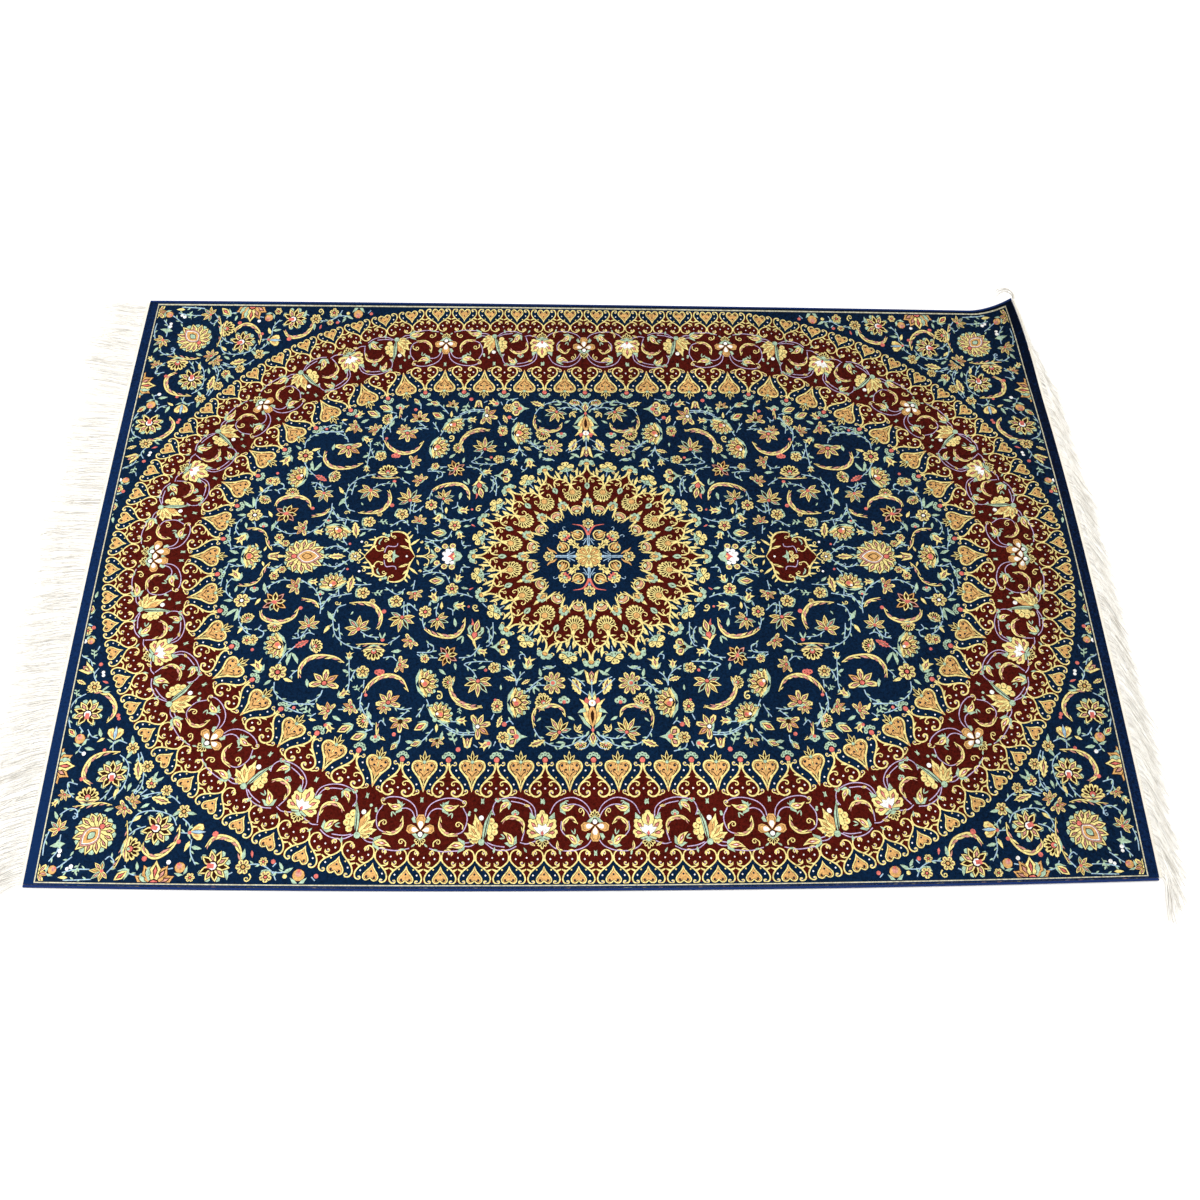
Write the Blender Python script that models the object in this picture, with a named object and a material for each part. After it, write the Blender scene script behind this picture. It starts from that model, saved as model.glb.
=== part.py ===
"""A knotted rug that lies flat, with one back corner curled up.

One pile sheet, an overcast cord along each long side, and at each end a narrow
woven strip that carries the fringe. Metres, +Z up. The origin is on the floor,
under the middle of the sheet; X runs between the fringed ends and Y to the back.

A place on the rug is given flat, as (u, v) measured from its middle before the
cloth bows or curls, with a height above its underside.
"""

import math
from collections import namedtuple

import bmesh
import bpy
from mathutils import Vector

RUG_LENGTH = 1.520  # pile, between the two fringed ends
RUG_WIDTH = 1.000  # pile, between the two side cords
SHEET_THICKNESS = 0.0035  # foundation and clipped silk pile
SEAM_GAP = 0.0003  # between the sheet and what is sewn to its edges

HALF_LENGTH = RUG_LENGTH / 2
HALF_WIDTH = RUG_WIDTH / 2

# How far the middle of each edge bows out past its corners
BOW_LEFT = 0.005
BOW_RIGHT = 0.006
BOW_FRONT = 0.009
BOW_BACK = 0.003

BACK_RIGHT_PULL = 0.014  # how far in the back right corner is drawn

# The back right corner rolls up, as a round roll, across a line this far in from its tip
CURL_REACH = 0.077
CURL_HEADING = math.radians(24)  # of the roll, from +X towards +Y
CURL_TURN = 1.43  # radians that the sheet has turned by at the tip
CURL_RADIUS = CURL_REACH / CURL_TURN

# The sheet's grid is coarse where it is flat and fine over the curl
FLAT_COLUMNS, CURL_COLUMNS = 14, 9
FLAT_ROWS, CURL_ROWS = 9, 12
CURL_ZONE_LENGTH = 0.095  # of the long edge, from the corner
CURL_ZONE_WIDTH = 0.210  # of the fringed edge, from the corner

CORD_RADIUS = 0.0019
CORD_SIDES = 8
CORD_FLAT_STEPS = 20
CORD_CURL_STEPS = 10

STRIP_WIDTH = 0.0045  # woven end that the fringe hangs from
STRIP_HEIGHT = 0.0022
CORNER_FROM = 0.300  # the strip on the curled corner is a piece of its own, from here
LOCK_PITCH = 0.010
LOCK_LENGTH = 0.080
LOCK_WIDTH_ROOT, LOCK_WIDTH_TIP = 0.0024, 0.0013
LOCK_HEIGHT_TIP = 0.0011

# One row for each joint of a lock: the share of its length reached there, and the
# share of its lean that it has taken up by then
LockJoint = namedtuple("LockJoint", "share lean")
LOCK_JOINTS = (
    LockJoint(0.14, 0.45),
    LockJoint(0.45, 1.00),
    LockJoint(1.00, 1.00),
)

# The corners of a lock's section, in the order of its faces: (front or back, low or high)
LOCK_CORNERS = ((-1, 0), (-1, 1), (1, 1), (1, 0))

NAVY = (0.012, 0.035, 0.095, 1.0)
IVORY = (0.82, 0.79, 0.72, 1.0)


def clear_scene():
    for obj in list(bpy.data.objects):
        bpy.data.objects.remove(obj, do_unlink=True)


def make_material(name, colour, roughness):
    material = bpy.data.materials.new(name)
    material.use_nodes = True
    shader = material.node_tree.nodes["Principled BSDF"]
    shader.inputs["Base Color"].default_value = colour
    shader.inputs["Roughness"].default_value = roughness
    shader.inputs["Metallic"].default_value = 0.0
    return material


def make_object(name, bm, material):
    mesh = bpy.data.meshes.new(name)
    bm.to_mesh(mesh)
    bm.free()
    mesh.materials.append(material)
    obj = bpy.data.objects.new(name, mesh)
    bpy.context.scene.collection.objects.link(obj)
    return obj


def bowed(u, v):
    """The place in plan of a point of the flat rug, with its edges bowed out."""
    along, across = u / HALF_LENGTH, v / HALF_WIDTH
    end_bow = BOW_RIGHT if u > 0 else -BOW_LEFT
    side_bow = BOW_BACK if v > 0 else -BOW_FRONT
    x = u + end_bow * along**2 * (1 - across**2)
    y = v + side_bow * across**2 * (1 - along**2)
    x -= BACK_RIGHT_PULL * max(0, along) ** 3 * max(0, across) ** 2
    return x, y


def rug_point(u, v, height):
    """A point this high above the underside, measured square to the sheet."""
    x, y = bowed(u, v)
    flat = Vector((x, y, 0))
    heading = Vector((math.cos(CURL_HEADING), math.sin(CURL_HEADING), 0))
    tip = Vector((HALF_LENGTH - BACK_RIGHT_PULL, HALF_WIDTH, 0))
    reach = (flat - tip).dot(heading) + CURL_REACH
    if reach <= 0:
        return Vector((x, y, height))
    turn = reach / CURL_RADIUS
    inner_radius = CURL_RADIUS - height
    point = flat + heading * (inner_radius * math.sin(turn) - reach)
    point.z = CURL_RADIUS - inner_radius * math.cos(turn)
    return point


def sweep(bm, rings):
    """A closed solid through rings of points, one after another. Returns their verts."""
    loops = [[bm.verts.new(point) for point in ring] for ring in rings]
    bm.faces.new(loops[0])
    bm.faces.new(loops[-1])
    for first, second in zip(loops, loops[1:]):
        for i in range(len(first)):
            bm.faces.new([first[i - 1], first[i], second[i], second[i - 1]])
    return loops


def graded(start, end, zone, flat_steps, curl_steps):
    """Stations from start to end, closer together over the last stretch, the zone."""
    break_at = end - zone
    flat = [start + (break_at - start) * i / flat_steps for i in range(flat_steps)]
    curl = [break_at + zone * i / curl_steps for i in range(curl_steps + 1)]
    return flat + curl


def make_pile_sheet(material):
    """The underside as a grid that faces up, given its thickness above."""
    columns = graded(
        -HALF_LENGTH, HALF_LENGTH, CURL_ZONE_LENGTH, FLAT_COLUMNS, CURL_COLUMNS
    )
    rows = graded(-HALF_WIDTH, HALF_WIDTH, CURL_ZONE_WIDTH, FLAT_ROWS, CURL_ROWS)
    bm = bmesh.new()
    bmesh.ops.create_grid(
        bm,
        x_segments=len(columns) - 1,
        y_segments=len(rows) - 1,
        size=1.0,
    )
    for vert in bm.verts:
        column = round((vert.co.x + 1) / 2 * (len(columns) - 1))
        row = round((vert.co.y + 1) / 2 * (len(rows) - 1))
        vert.co = rug_point(columns[column], rows[row], 0)
    sheet = make_object("pile_sheet", bm, material)
    shell = sheet.modifiers.new("thickness", "SOLIDIFY")
    shell.thickness = SHEET_THICKNESS
    shell.offset = 1.0
    return sheet


def make_side_cord(name, side, material):
    """The overcast edge: a cord that lies against the sheet's long edge."""
    across = side * (HALF_WIDTH + SEAM_GAP + CORD_RADIUS)
    stations = graded(
        -HALF_LENGTH, HALF_LENGTH, CURL_ZONE_LENGTH, CORD_FLAT_STEPS, CORD_CURL_STEPS
    )
    # An eight-sided cord with a flat side down, so that it rests on the floor
    turns = [2 * math.pi * (i + 0.5) / CORD_SIDES for i in range(CORD_SIDES)]
    side_radius = CORD_RADIUS / math.cos(math.pi / CORD_SIDES)

    def ring(u):
        return [
            rug_point(
                u,
                across + side_radius * math.cos(turn),
                CORD_RADIUS + side_radius * math.sin(turn),
            )
            for turn in turns
        ]

    bm = bmesh.new()
    sweep(bm, [ring(u) for u in stations])
    bmesh.ops.recalc_face_normals(bm, faces=bm.faces)
    return make_object(name, bm, material)


def lean_left(v):
    """Where the left locks point, in radians from -X towards the back: back at the
    back corner and to the front from the middle down, with a slow wander."""
    share = v / HALF_WIDTH
    wander = 0.05 * math.sin(23 * v) + 0.04 * math.sin(61 * v + 1)
    return 0.33 * share - 0.08 + wander - 0.25 * max(0, -share) ** 12


def lean_right(v):
    """The right locks are brushed along the edge, towards the front."""
    return -1.20 + 0.03 * math.sin(19 * v)


def length_left(v):
    return LOCK_LENGTH * (1 + 0.06 * math.sin(37 * v) + 0.04 * math.sin(113 * v))


def length_right(v):
    return LOCK_LENGTH * (0.93 + 0.05 * math.sin(41 * v))


def make_fringe(name, side, start, end, lean_at, length_at, material):
    """A woven strip along one end, from start to end across the rug, with its locks
    growing from the outer face."""
    count = round((end - start) / LOCK_PITCH)
    cell = (end - start) / count
    middles = [start + cell * (i + 0.5) for i in range(count)]
    stations = [start]
    for middle in middles:
        stations += [middle - LOCK_WIDTH_ROOT / 2, middle + LOCK_WIDTH_ROOT / 2]
    stations.append(end)
    inner = side * (HALF_LENGTH + SEAM_GAP)
    outer = inner + side * STRIP_WIDTH

    def ring(v):
        corners = [
            (inner, 0),
            (outer, 0),
            (outer, STRIP_HEIGHT),
            (inner, STRIP_HEIGHT),
        ]
        return [rug_point(u, v, height) for u, height in corners]

    bm = bmesh.new()
    rings = sweep(bm, [ring(v) for v in stations])
    for i, middle in enumerate(middles):
        first, second = rings[2 * i + 1], rings[2 * i + 2]
        root = bm.faces.get([first[1], first[2], second[2], second[1]])
        grow_lock(bm, root, side, lean_at(middle), length_at(middle))
    bmesh.ops.recalc_face_normals(bm, faces=bm.faces)
    return make_object(name, bm, material)


def grow_lock(bm, root, side, lean, length):
    """Extrudes one lock from a face of the strip, out and down to the floor."""
    centre = root.calc_center_median()
    start = centre.copy()
    lift = centre.z - STRIP_HEIGHT / 2
    face = root
    done = 0.0
    for joint in LOCK_JOINTS:
        heading = lean * joint.lean
        step = (joint.share - done) * length
        start += Vector((side * math.cos(heading), math.sin(heading), 0)) * step
        done = joint.share
        half = (
            LOCK_WIDTH_ROOT + (LOCK_WIDTH_TIP - LOCK_WIDTH_ROOT) * joint.share
        ) / 2
        high = STRIP_HEIGHT + (LOCK_HEIGHT_TIP - STRIP_HEIGHT) * joint.share
        low = lift * max(0.0, 1 - joint.share / 0.6) ** 1.5
        across = Vector((-side * math.sin(heading), math.cos(heading), 0))
        grown = bmesh.ops.extrude_discrete_faces(bm, faces=[face])
        face = grown["faces"][0]
        for vert, (back, top) in zip(face.verts, LOCK_CORNERS):
            vert.co = start + across * (back * half)
            vert.co.z = low + top * high


def main():
    clear_scene()
    silk = make_material("navy_silk", NAVY, 0.55)
    overcast = make_material("navy_overcast", NAVY, 0.6)
    ivory = make_material("ivory_warp", IVORY, 0.7)
    make_pile_sheet(silk)
    make_side_cord("side_cord_front", -1, overcast)
    make_side_cord("side_cord_back", 1, overcast)
    front, back = -HALF_WIDTH, HALF_WIDTH
    make_fringe("fringe_left", -1, front, back, lean_left, length_left, ivory)
    make_fringe(
        "fringe_right", 1, front, CORNER_FROM - SEAM_GAP, lean_right, length_right, ivory
    )
    make_fringe("fringe_corner", 1, CORNER_FROM, back, lean_right, length_right, ivory)


main()
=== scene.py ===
import itertools
import math

import bmesh
import bpy
import numpy as np
from mathutils import Matrix, Vector
from mathutils.geometry import delaunay_2d_cdt


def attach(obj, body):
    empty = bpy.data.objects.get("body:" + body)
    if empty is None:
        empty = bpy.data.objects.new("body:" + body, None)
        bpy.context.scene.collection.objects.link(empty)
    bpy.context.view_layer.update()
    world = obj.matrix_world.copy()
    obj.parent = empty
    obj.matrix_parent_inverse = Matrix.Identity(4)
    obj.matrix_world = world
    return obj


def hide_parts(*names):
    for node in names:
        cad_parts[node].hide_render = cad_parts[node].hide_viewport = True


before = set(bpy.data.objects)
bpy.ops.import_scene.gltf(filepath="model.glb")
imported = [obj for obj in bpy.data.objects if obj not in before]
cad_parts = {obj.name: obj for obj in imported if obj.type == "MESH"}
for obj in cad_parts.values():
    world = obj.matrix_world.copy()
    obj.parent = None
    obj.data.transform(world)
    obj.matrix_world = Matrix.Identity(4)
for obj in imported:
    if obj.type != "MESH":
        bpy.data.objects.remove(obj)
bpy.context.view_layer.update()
rng = np.random.default_rng(1520)

# The rug in metres: x between the fringed ends, y to the back; the back right corner is rolled up
rug = {
    "halfLength": 0.760,
    "halfWidth": 0.500,
    "bowLeft": 0.005,
    "bowRight": 0.006,
    "bowFront": 0.009,
    "bowBack": 0.003,
    "backRightPull": 0.014,
    "curlReach": 0.077,
    "curlHeading": math.radians(24),
    "curlTurn": 1.43,
    "stripWidth": 0.0045,
    "stripHeight": 0.0022,
}

# The pattern, in millimetres: four quarters, mirrored about a middle a little off the rug's own
design = {
    "halfLength": 760,
    "halfWidth": 500,
    "middle": (-10, -8),
    "spine": 242,  # half the straight run of the oval bands
    "guardAt": (745, 496.8),
    "innerBand": {"apex": 338, "base": 376, "spacing": 68.85, "roll": 350},
    "redBand": {"middle": 416, "spacing": 81.97, "roll": 420},
    "outerBand": {"apex": 462, "base": 498, "spacing": 47.05, "roll": 475},
}

# How far the weaver strayed from the pattern, in millimetres, with how much that leans
drift = {
    "x": (-760, -680, -510, -340, -170, 0, 170, 340, 510, 680, 760),
    "along": (0, 1.5, 4.5, 6.5, 1, -2, -1, -3, -2.5, -4, 0),
    "alongLean": (0, -3, -1.5, 1.5, 2.5, 3.5, 2.5, 5, 4.5, 3, 0),
    "y": (-500, -496.5, -490, -472, -430, -385, -344, -258, -172, -86, 0, 86, 172, 258, 344, 430, 485, 500),
    "across": (0, 3, 6, 9, 11, 16, 19, 19, 14.5, 11, 7.5, 5.5, 4.5, 3, 2.8, 2.6, 2, 0),
    "acrossLean": (0, 0, 0, 0, -1, -2, -3, -5, -5, -4, -3, -3, -1.5, 0, 0, 1, 0, 0),
    "endX": (520, 680, 760),
    "end": (0, -5, 0),
    "endY": (-500, -430, 0, 120, 500),
    "endShare": (0, 1, 1, 0.4, 0),
}


def strayed(x, y):
    # from a place in the pattern to the place on the rug, in millimetres
    along = np.interp(x, drift["x"], drift["along"]) + np.interp(x, drift["x"], drift["alongLean"]) * y / 344
    across = np.interp(y, drift["y"], drift["across"])
    across = across + np.interp(y, drift["y"], drift["acrossLean"]) * x / 680
    hang = np.interp(x, drift["endX"], drift["end"]) * np.interp(y, drift["endY"], drift["endShare"])
    return x + along, y + across + hang


print("drawing the pattern")

# Every shape of one quarter, in the order that it is laid: x to the right, y to the front
shapes = []


def paint(yarn, points, place=None):
    # outlines all turn one way, and have no point that changes nothing
    points = np.asarray(points, dtype=float)
    points = place(points) if place else points
    for start in (0, 1):
        if len(points) > 8:
            before, after = np.roll(points, 1, 0), np.roll(points, -1, 0)
            span = after - before
            off = span[:, 0] * (points - before)[:, 1] - span[:, 1] * (points - before)[:, 0]
            idle = np.abs(off) < 0.045 * np.linalg.norm(span, axis=1)
            idle &= ((points - before) * span).sum(axis=1) > 0
            idle[start::2] = False
            points = points[~idle]
    after = np.roll(points, -1, 0)
    turning = np.sum(points[:, 0] * after[:, 1] - after[:, 0] * points[:, 1])
    shapes.append((yarn, points if turning > 0 else points[::-1]))


def spot(x, y, turn=90, size=1, flip=1):
    # a motif's own frame; turn is the way it grows, in degrees from x towards y
    up = np.array([math.cos(math.radians(turn)), math.sin(math.radians(turn))])
    side = np.array([up[1], -up[0]]) * flip
    here = np.array([x, y])
    return lambda points: here + size * (points[:, :1] * side + points[:, 1:] * up)


def within(place, x, y, turn=90, size=1, flip=1):
    inner = spot(x, y, turn, size, flip)
    return lambda points: place(inner(np.asarray(points, dtype=float)))


def bend(s, radius, roll, face=1):
    # a frame in an oval band: s along the band, growing outwards, or inwards for face -1
    def place(points):
        along = s + points[:, 0]
        out = radius + points[:, 1] * face
        turn = np.maximum(along - design["spine"], 0) / roll
        x = np.minimum(along, design["spine"]) + out * np.sin(turn)
        return np.column_stack([x, out * np.cos(turn)])

    return place


def smooth(points, steps=3):
    # a curve through the points
    p = np.asarray(points, dtype=float)
    grown = np.vstack([2 * p[0] - p[1], p, 2 * p[-1] - p[-2]])
    a, b, c, d = (grown[i : len(p) - 1 + i, None] for i in range(4))
    t = (np.arange(steps) / steps)[None, :, None]
    line = b + 0.5 * t * (c - a + t * (2 * a - 5 * b + 4 * c - d + t * (3 * b - a - 3 * c + d)))
    return np.vstack([line.reshape(-1, 2), p[-1:]])


def mirrored(half, steps=2):
    # a closed outline from its right side, root to tip
    right = smooth(half, steps) if steps > 1 else np.asarray(half, dtype=float)
    left = right[::-1] * (-1, 1)
    if abs(right[-1, 0]) < 1e-6:
        left = left[1:]
    if abs(right[0, 0]) < 1e-6:
        left = left[:-1]
    return np.vstack([right, left])


def unit(vectors):
    return vectors / np.maximum(np.linalg.norm(vectors, axis=1, keepdims=True), 1e-9)


def grown(points, distance):
    # an outline moved out
    p = np.asarray(points, dtype=float)
    after, before = np.roll(p, -1, 0), np.roll(p, 1, 0)
    area = np.sum(p[:, 0] * after[:, 1] - after[:, 0] * p[:, 1])
    along = unit(after - before)
    return p + np.column_stack([along[:, 1], -along[:, 0]]) * (distance if area > 0 else -distance)


def ribbon(line, width, taper=0.0):
    # a strip along a line; taper thins its end, and -1 thins both ends
    p = np.asarray(line, dtype=float)
    along = unit(np.gradient(p, axis=0))
    t = np.linspace(0, 1, len(p))
    wide = np.sin(np.pi * np.clip(t, 0.05, 0.95)) ** 0.7 if taper < 0 else 1 - taper * t**1.5
    half = along[:, ::-1] * (-1, 1) * (width / 2 * np.maximum(wide, 0.15))[:, None]
    return np.vstack([p + half, (p - half)[::-1]])


def stroke(yarn, points, width, place=None, steps=3):
    paint(yarn, ribbon(smooth(points, steps), width), place)


def ring(radius, count=8, start=0.0):
    turns = start + np.arange(count) * 2 * math.pi / count
    return np.column_stack([np.cos(turns), np.sin(turns)]) * radius


def dot(yarn, x, y, radius, place=None, count=7):
    paint(yarn, ring(radius, count) + (x, y), place)


def edged(yarn, outline, place, rim=0.7):
    if rim:
        paint("brown", grown(outline, rim), place)
    paint(yarn, outline, place)


def roundPetal(length, width):
    w = width / 2
    return np.array(
        [(0, 0), (w * 0.75, 0.35 * length), (w, 0.7 * length), (w * 0.55, 0.95 * length)]
        + [(-w * 0.55, 0.95 * length), (-w, 0.7 * length), (-w * 0.75, 0.35 * length)]
    )


def sharpPetal(length, width):
    w = width / 2
    return np.array(
        [(0, 0), (w * 0.8, 0.28 * length), (w, 0.55 * length), (w * 0.5, 0.82 * length), (0, length)]
        + [(-w * 0.5, 0.82 * length), (-w, 0.55 * length), (-w * 0.8, 0.28 * length)]
    )


def spiral(radius, turns=1.3, count=11, start=180, hand=1):
    # a curl from its rim in towards 0,0
    t = np.linspace(0, 1, count)
    angles = math.radians(start) - hand * t * turns * 2 * math.pi
    reach = radius * (1 - 0.72 * t)
    return np.column_stack([np.cos(angles), np.sin(angles)]) * reach[:, None]


def curled(x, y, radius, width=1.5, hand=1, start=180, lead=(), turns=1.25):
    # a line that ends in a curl about x,y; lead is the line before it
    curl = spiral(radius, turns, 10, start, hand) + (x, y)
    line = np.vstack([smooth([*lead, curl[0]], 3)[:-1], curl]) if len(lead) else curl
    return ribbon(line, width, 0.4)


def volute(yarn, place, *settings):
    paint(yarn, curled(*settings), place)


def slit(low, high, width):
    middle = (low + high) / 2 + (high - low) * 0.1
    return np.array([(0, low), (width / 2, middle), (0, high), (-width / 2, middle)])


def petal(place, length, width, yarn="gold", mark="rose", sharp=1, rim=0.24):
    # a petal, with a dark slit and another yarn in the slit
    shape = (sharpPetal if sharp else roundPetal)(length, width)
    if rim:
        paint("brown", grown(shape, rim), place)
    paint(yarn, shape, place)
    if mark:
        paint("brown", slit(length * 0.1, length * 0.86, width * 0.64), place)
    if mark and mark != "brown":
        paint(mark, slit(length * 0.22, length * 0.76, width * 0.36), place)


def plot(points, side=1):
    # points out of text, or of its words, and mirrored for side -1
    words = points.split() if isinstance(points, str) else points
    return np.array([word.split(",") for word in words], dtype=float).reshape(-1, 2) * (side, 1)


def table(text):
    # rows of numbers and words, split by commas
    number = lambda word: word if word[0].isalpha() else float(word)
    return [[number(word) for word in row.split()] for row in text.split(",")]


def outlineOf(kind, points, sizes, side):
    if kind in ("half", "curve"):
        return mirrored(points, 1 if kind == "half" else 2)
    if kind == "soft":
        return smooth(points, 2)
    if kind == "dot":
        return ring(sizes[0], int(*sizes[1:] or (7,))) + points[0]
    if kind == "slit":
        return slit(*sizes)
    if kind in ("round", "sharp"):
        shape = (roundPetal if kind == "round" else sharpPetal)(*sizes)
        return shape + points[0] if len(points) else shape
    if kind == "line":
        width, steps, taper = sizes + [3, 0.0][len(sizes) - 1 :]
        return ribbon(smooth(points, int(steps)), width, taper)
    if kind == "scroll":
        # a smooth line, then a curl about the first point, mirrored as a whole
        middle, *lead = points * (side, 1)
        width, taper, radius, turns, count, start, hand = sizes
        curl = spiral(radius, turns, int(count), start, hand) + middle
        return ribbon(np.vstack([smooth(lead, 2), curl]) * (side, 1), width, taper)
    if kind == "curl":
        radius, width, hand, start, turns = sizes
        start = start if side > 0 else 180 - start
        return curled(*points[0], radius, width, hand * side, start, points[1:], turns)
    return points


def draw(place, text, side=1, **yarns):
    # rows as they are laid: a kind, a yarn+rim, sizes and x,y points, without a kind an outline;
    # neighbouring rows that say both come once for each side
    rows = []
    for word in text.split():
        if word[0].isalpha() and not (rows and rows[-1][-1][0].isalpha()):
            rows.append([])
        rows[-1].append(word)
    for both, group in itertools.groupby(rows, key=lambda row: row[0] == "both"):
        group = list(group)
        for side in (-1, 1) if both else (side,):
            for row in group:
                words = [word for word in row[both:] if word[0].isalpha()]
                numbers = row[both + len(words) :]
                points = plot([word for word in numbers if "," in word], side)
                sizes = [float(word) for word in numbers if "," not in word]
                if words[0] == "petal":
                    turn, *sizes = sizes
                    arm = within(place, *points[0], turn if side > 0 else 180 - turn)
                    petal(arm, *sizes[:2], *(yarns.get(word, word) for word in words[1:]), *sizes[2:])
                else:
                    yarn, _, rim = words[-1].partition("+")
                    shape = outlineOf(words[0] if words[1:] else "", points, sizes, side)
                    edged(yarns.get(yarn, yarn), shape, place, float(rim or 0))


def serrated(points, width, teeth, place=None):
    # a long curved leaf along a line: a smooth spine, and barbs in its hollow
    p = smooth(points, 6)
    count = teeth * 3 + 1
    at = np.linspace(0, len(p) - 1.001, count)
    low = at.astype(int)
    p = p[low] + (p[low + 1] - p[low]) * (at - low)[:, None]
    along = unit(np.gradient(p, axis=0))
    turning = np.linalg.det([p[count // 2] - p[0], p[-1] - p[count // 2]])
    out = along[:, ::-1] * (-1, 1) * (1 if turning > 0 else -1)
    body = width * np.sin(np.pi * np.linspace(0.1, 0.93, count)) ** 0.7
    wide = body[:, None]
    paint("brown", np.vstack([p - out * wide * 0.1, (p + out * wide * 0.36)[::-1]]), place)
    for i in range(1, count - 2, 3):
        root = p[i] + out[i] * body[i] * 0.08
        bent, lift = along[i] * body[i], out[i] * body[i]
        shares = plot("-.5,0 .3,0 1.1,.34 1.75,.86 .7,.66")
        barb = [root + bent * ahead + lift * up for ahead, up in shares]
        edged("rose" if i % 6 == 4 else "gold", barb, place, 0.35)
    edged("gold", np.vstack([p - out * wide * 0.34, (p + out * wide * 0.06)[::-1]]), place, 0.5)


# The motifs, each drawn about 10 high with its middle near 0,0 and growing up
motifs = {}


def motif(drawn):
    motifs[drawn.__name__] = drawn
    return drawn


def scatter(place, text):
    # motifs on a place, each with its own x, y, turn, size and flip
    for kind, *where in table(text):
        motifs[kind](within(place, *where))


@motif
def bud(place, core="rose"):
    draw(place, """
        both mint 0,-5 2.2,-3.4 3.4,.8 1.6,-1.2 0,-3
        petal gold core 0,-3.6 90 8.6 4.4
    """, core=core)


def bloom(place, count, core):
    # round petals about a ringed middle
    for i in range(count):
        arm = within(place, 0, 0, 90 + 360 * i / count)
        edged("gold", roundPetal(4.6, 20.5 / count) + (0, 0.4), arm, 0.3)
        paint("brown", slit(1.4, 4.4, 8.6 / count), arm)
        paint("rose", slit(2.2, 3.9, 4.2 / count), arm)
    draw(place, "dot brown 0,0 2 8")
    dot(core if core != "brown" else "apricot", 0, 0, 1.15, place, 6)


@motif
def fan(place, core="coral"):
    draw(place, "both mint 0,-4.8 2.6,-4.4 5,-1.6 2.6,-2.6 0,-2.4")
    for i, yarn in enumerate("gold apricot gold gold gold".split()):
        petal(within(place, 0, -2.4, 90 + (i / 4 - 0.5) * 41 * 5), 7.0, 2.8, yarn, "rose", i % 2)
    dot("brown", 0, -2.4, 1.6, place, 7)
    dot(core, 0, -2.4, 1.1, place, 6)


@motif
def lily(place, core="coral"):
    for i in range(6):
        turn = (i / 5 - 0.5) * 36 * 6
        yarn, mark = "gold" if i % 3 else "mint", "rose" if i % 2 else "apricot"
        petal(within(place, 0, -2.6, 90 + turn), 7.8 - abs(turn) * 0.018, 2.5, yarn, mark)
    dot(core, 0, -2.6, 1.1, place, 6)


@motif
def tulip(place, yarn="gold", core="rose"):
    draw(place, """
        petal core gold 0,-3.4 90 7.6 4.2
        both brown 0,-5 3,-3.8 3.9,0 4.4,5.2 1.6,3.4 1,-1.6
        both yarn 0,-5 2.7,-3.6 3.4,0 4.4,5 2.2,3 1.4,-1.4
        dot mint 0,-3.6 1 6
    """, core=core, yarn=yarn)


@motif
def palmette(place, core="ivory"):
    # half a flower of barbed petals on long leaves, about an eye
    for i in range(7):
        dot("mint", 0, 5.5, 0.85, within(place, 0, -2, 90 + (i - 3) * 25), 6)
    for i in (0, 6, 1, 5, 2, 4, 3):
        arm = within(place, 0, -2.4, 90 + (i - 3) * 28)
        edge = plot("0,0 1.1,2.4 0.9,3.2 1.35,4.4 0.7,5.0 0,6.2")
        paint("brown", mirrored(edge, 1) * (1.22, 1.06), arm)
        paint("gold", mirrored(edge, 1), arm)
        draw(arm, "slit brown 2.2 5.6 1.3")
        paint("rose" if i % 2 else "apricot", slit(2.8, 5.2, 0.75), arm)
    draw(place, """
        both mint 0,-5 3,-4.7 6.4,-2.4 3,-3
        both gold 0,-3.8 3,-3.5 5.9,-1.6 3,-2.5
        curve brown 0,-3.4 2.3,-2.4 1.9,-.6 0,1.2
        half apricot 0,-3 1.8,-2.2 1.5,-.8 0,.6
        dot coral .5,-1.4 1
        dot ivory -1,-2.2 .7 6
    """)
    if core not in ("ivory", "coral"):
        dot(core, 0, -0.2, 0.6, place, 5)


@motif
def tallLily(place, core="coral"):
    # a pointed leaf over two mint lobes, in a gold cup with a long tail
    draw(place, """
        both mint+.25 0,-.6 1.6,1.4 1.4,2.6 2.3,2.7 2.7,1.2 1.9,-.4 .7,-1
        both brown .9,0 1.8,.3 2.1,1.5
        both gold 0,-2.6 .9,-2 2.4,-.7 1.1,-.9 0,-1.5
        petal gold rose 0,.4 90 4.6 1.9
        coral -1.6,2.8 -.9,3.2 -2.2,5
        half core+.3 0,-1.8 .9,-.4 .4,.7 0,.2
        gold -.4,-2 .5,-2 1.9,-5.2 .2,-3.4
    """, core=core)


@motif
def leafFlower(place, core="coral"):
    # two scalloped petals and a leaf tail about a bright eye
    draw(place, """
        mint 0,-5.4 .9,-2.6 3.2,-.4 1.4,.6 -1.4,.6 -3.2,-.4 -.9,-2.6
        both petal gold rose .6,-.4 46 5 4.2 0
        both mint 0,1.6 1.6,2.8 1,4.8 0,3.2
        dot gold 0,3.9 1.2 6
        dot core 0,-.4 1.3 6
    """, core=core)


@motif
def scallop(place, core="coral"):
    # a half flower of round petals on long leaves
    for i in (0, 6, 1, 5, 2, 4, 3):
        petal(within(place, 0, -1.8, 90 + (i / 6 - 0.5) * 180), 5.8, 2.5, "gold", "brown", 0)
    draw(place, """
        both gold 0,-3.2 3,-2.8 6.4,-1.6 3.2,-2 0,-1.8
        both rose 0,-3.6 3.4,-3.2 5.6,-2.2 3,-2.9
        both gold 0,-4.2 2.6,-4.2 4.4,-3.2 2.4,-3.5
        both mint 0,-5.4 1.8,-5 3,-4.2 0,-4.4
        dot brown 0,-1.2 1.8 9
        dot core 0,-1.2 1.35
        dot mint 0,-1.9 .8 6
    """, core=core)


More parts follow.
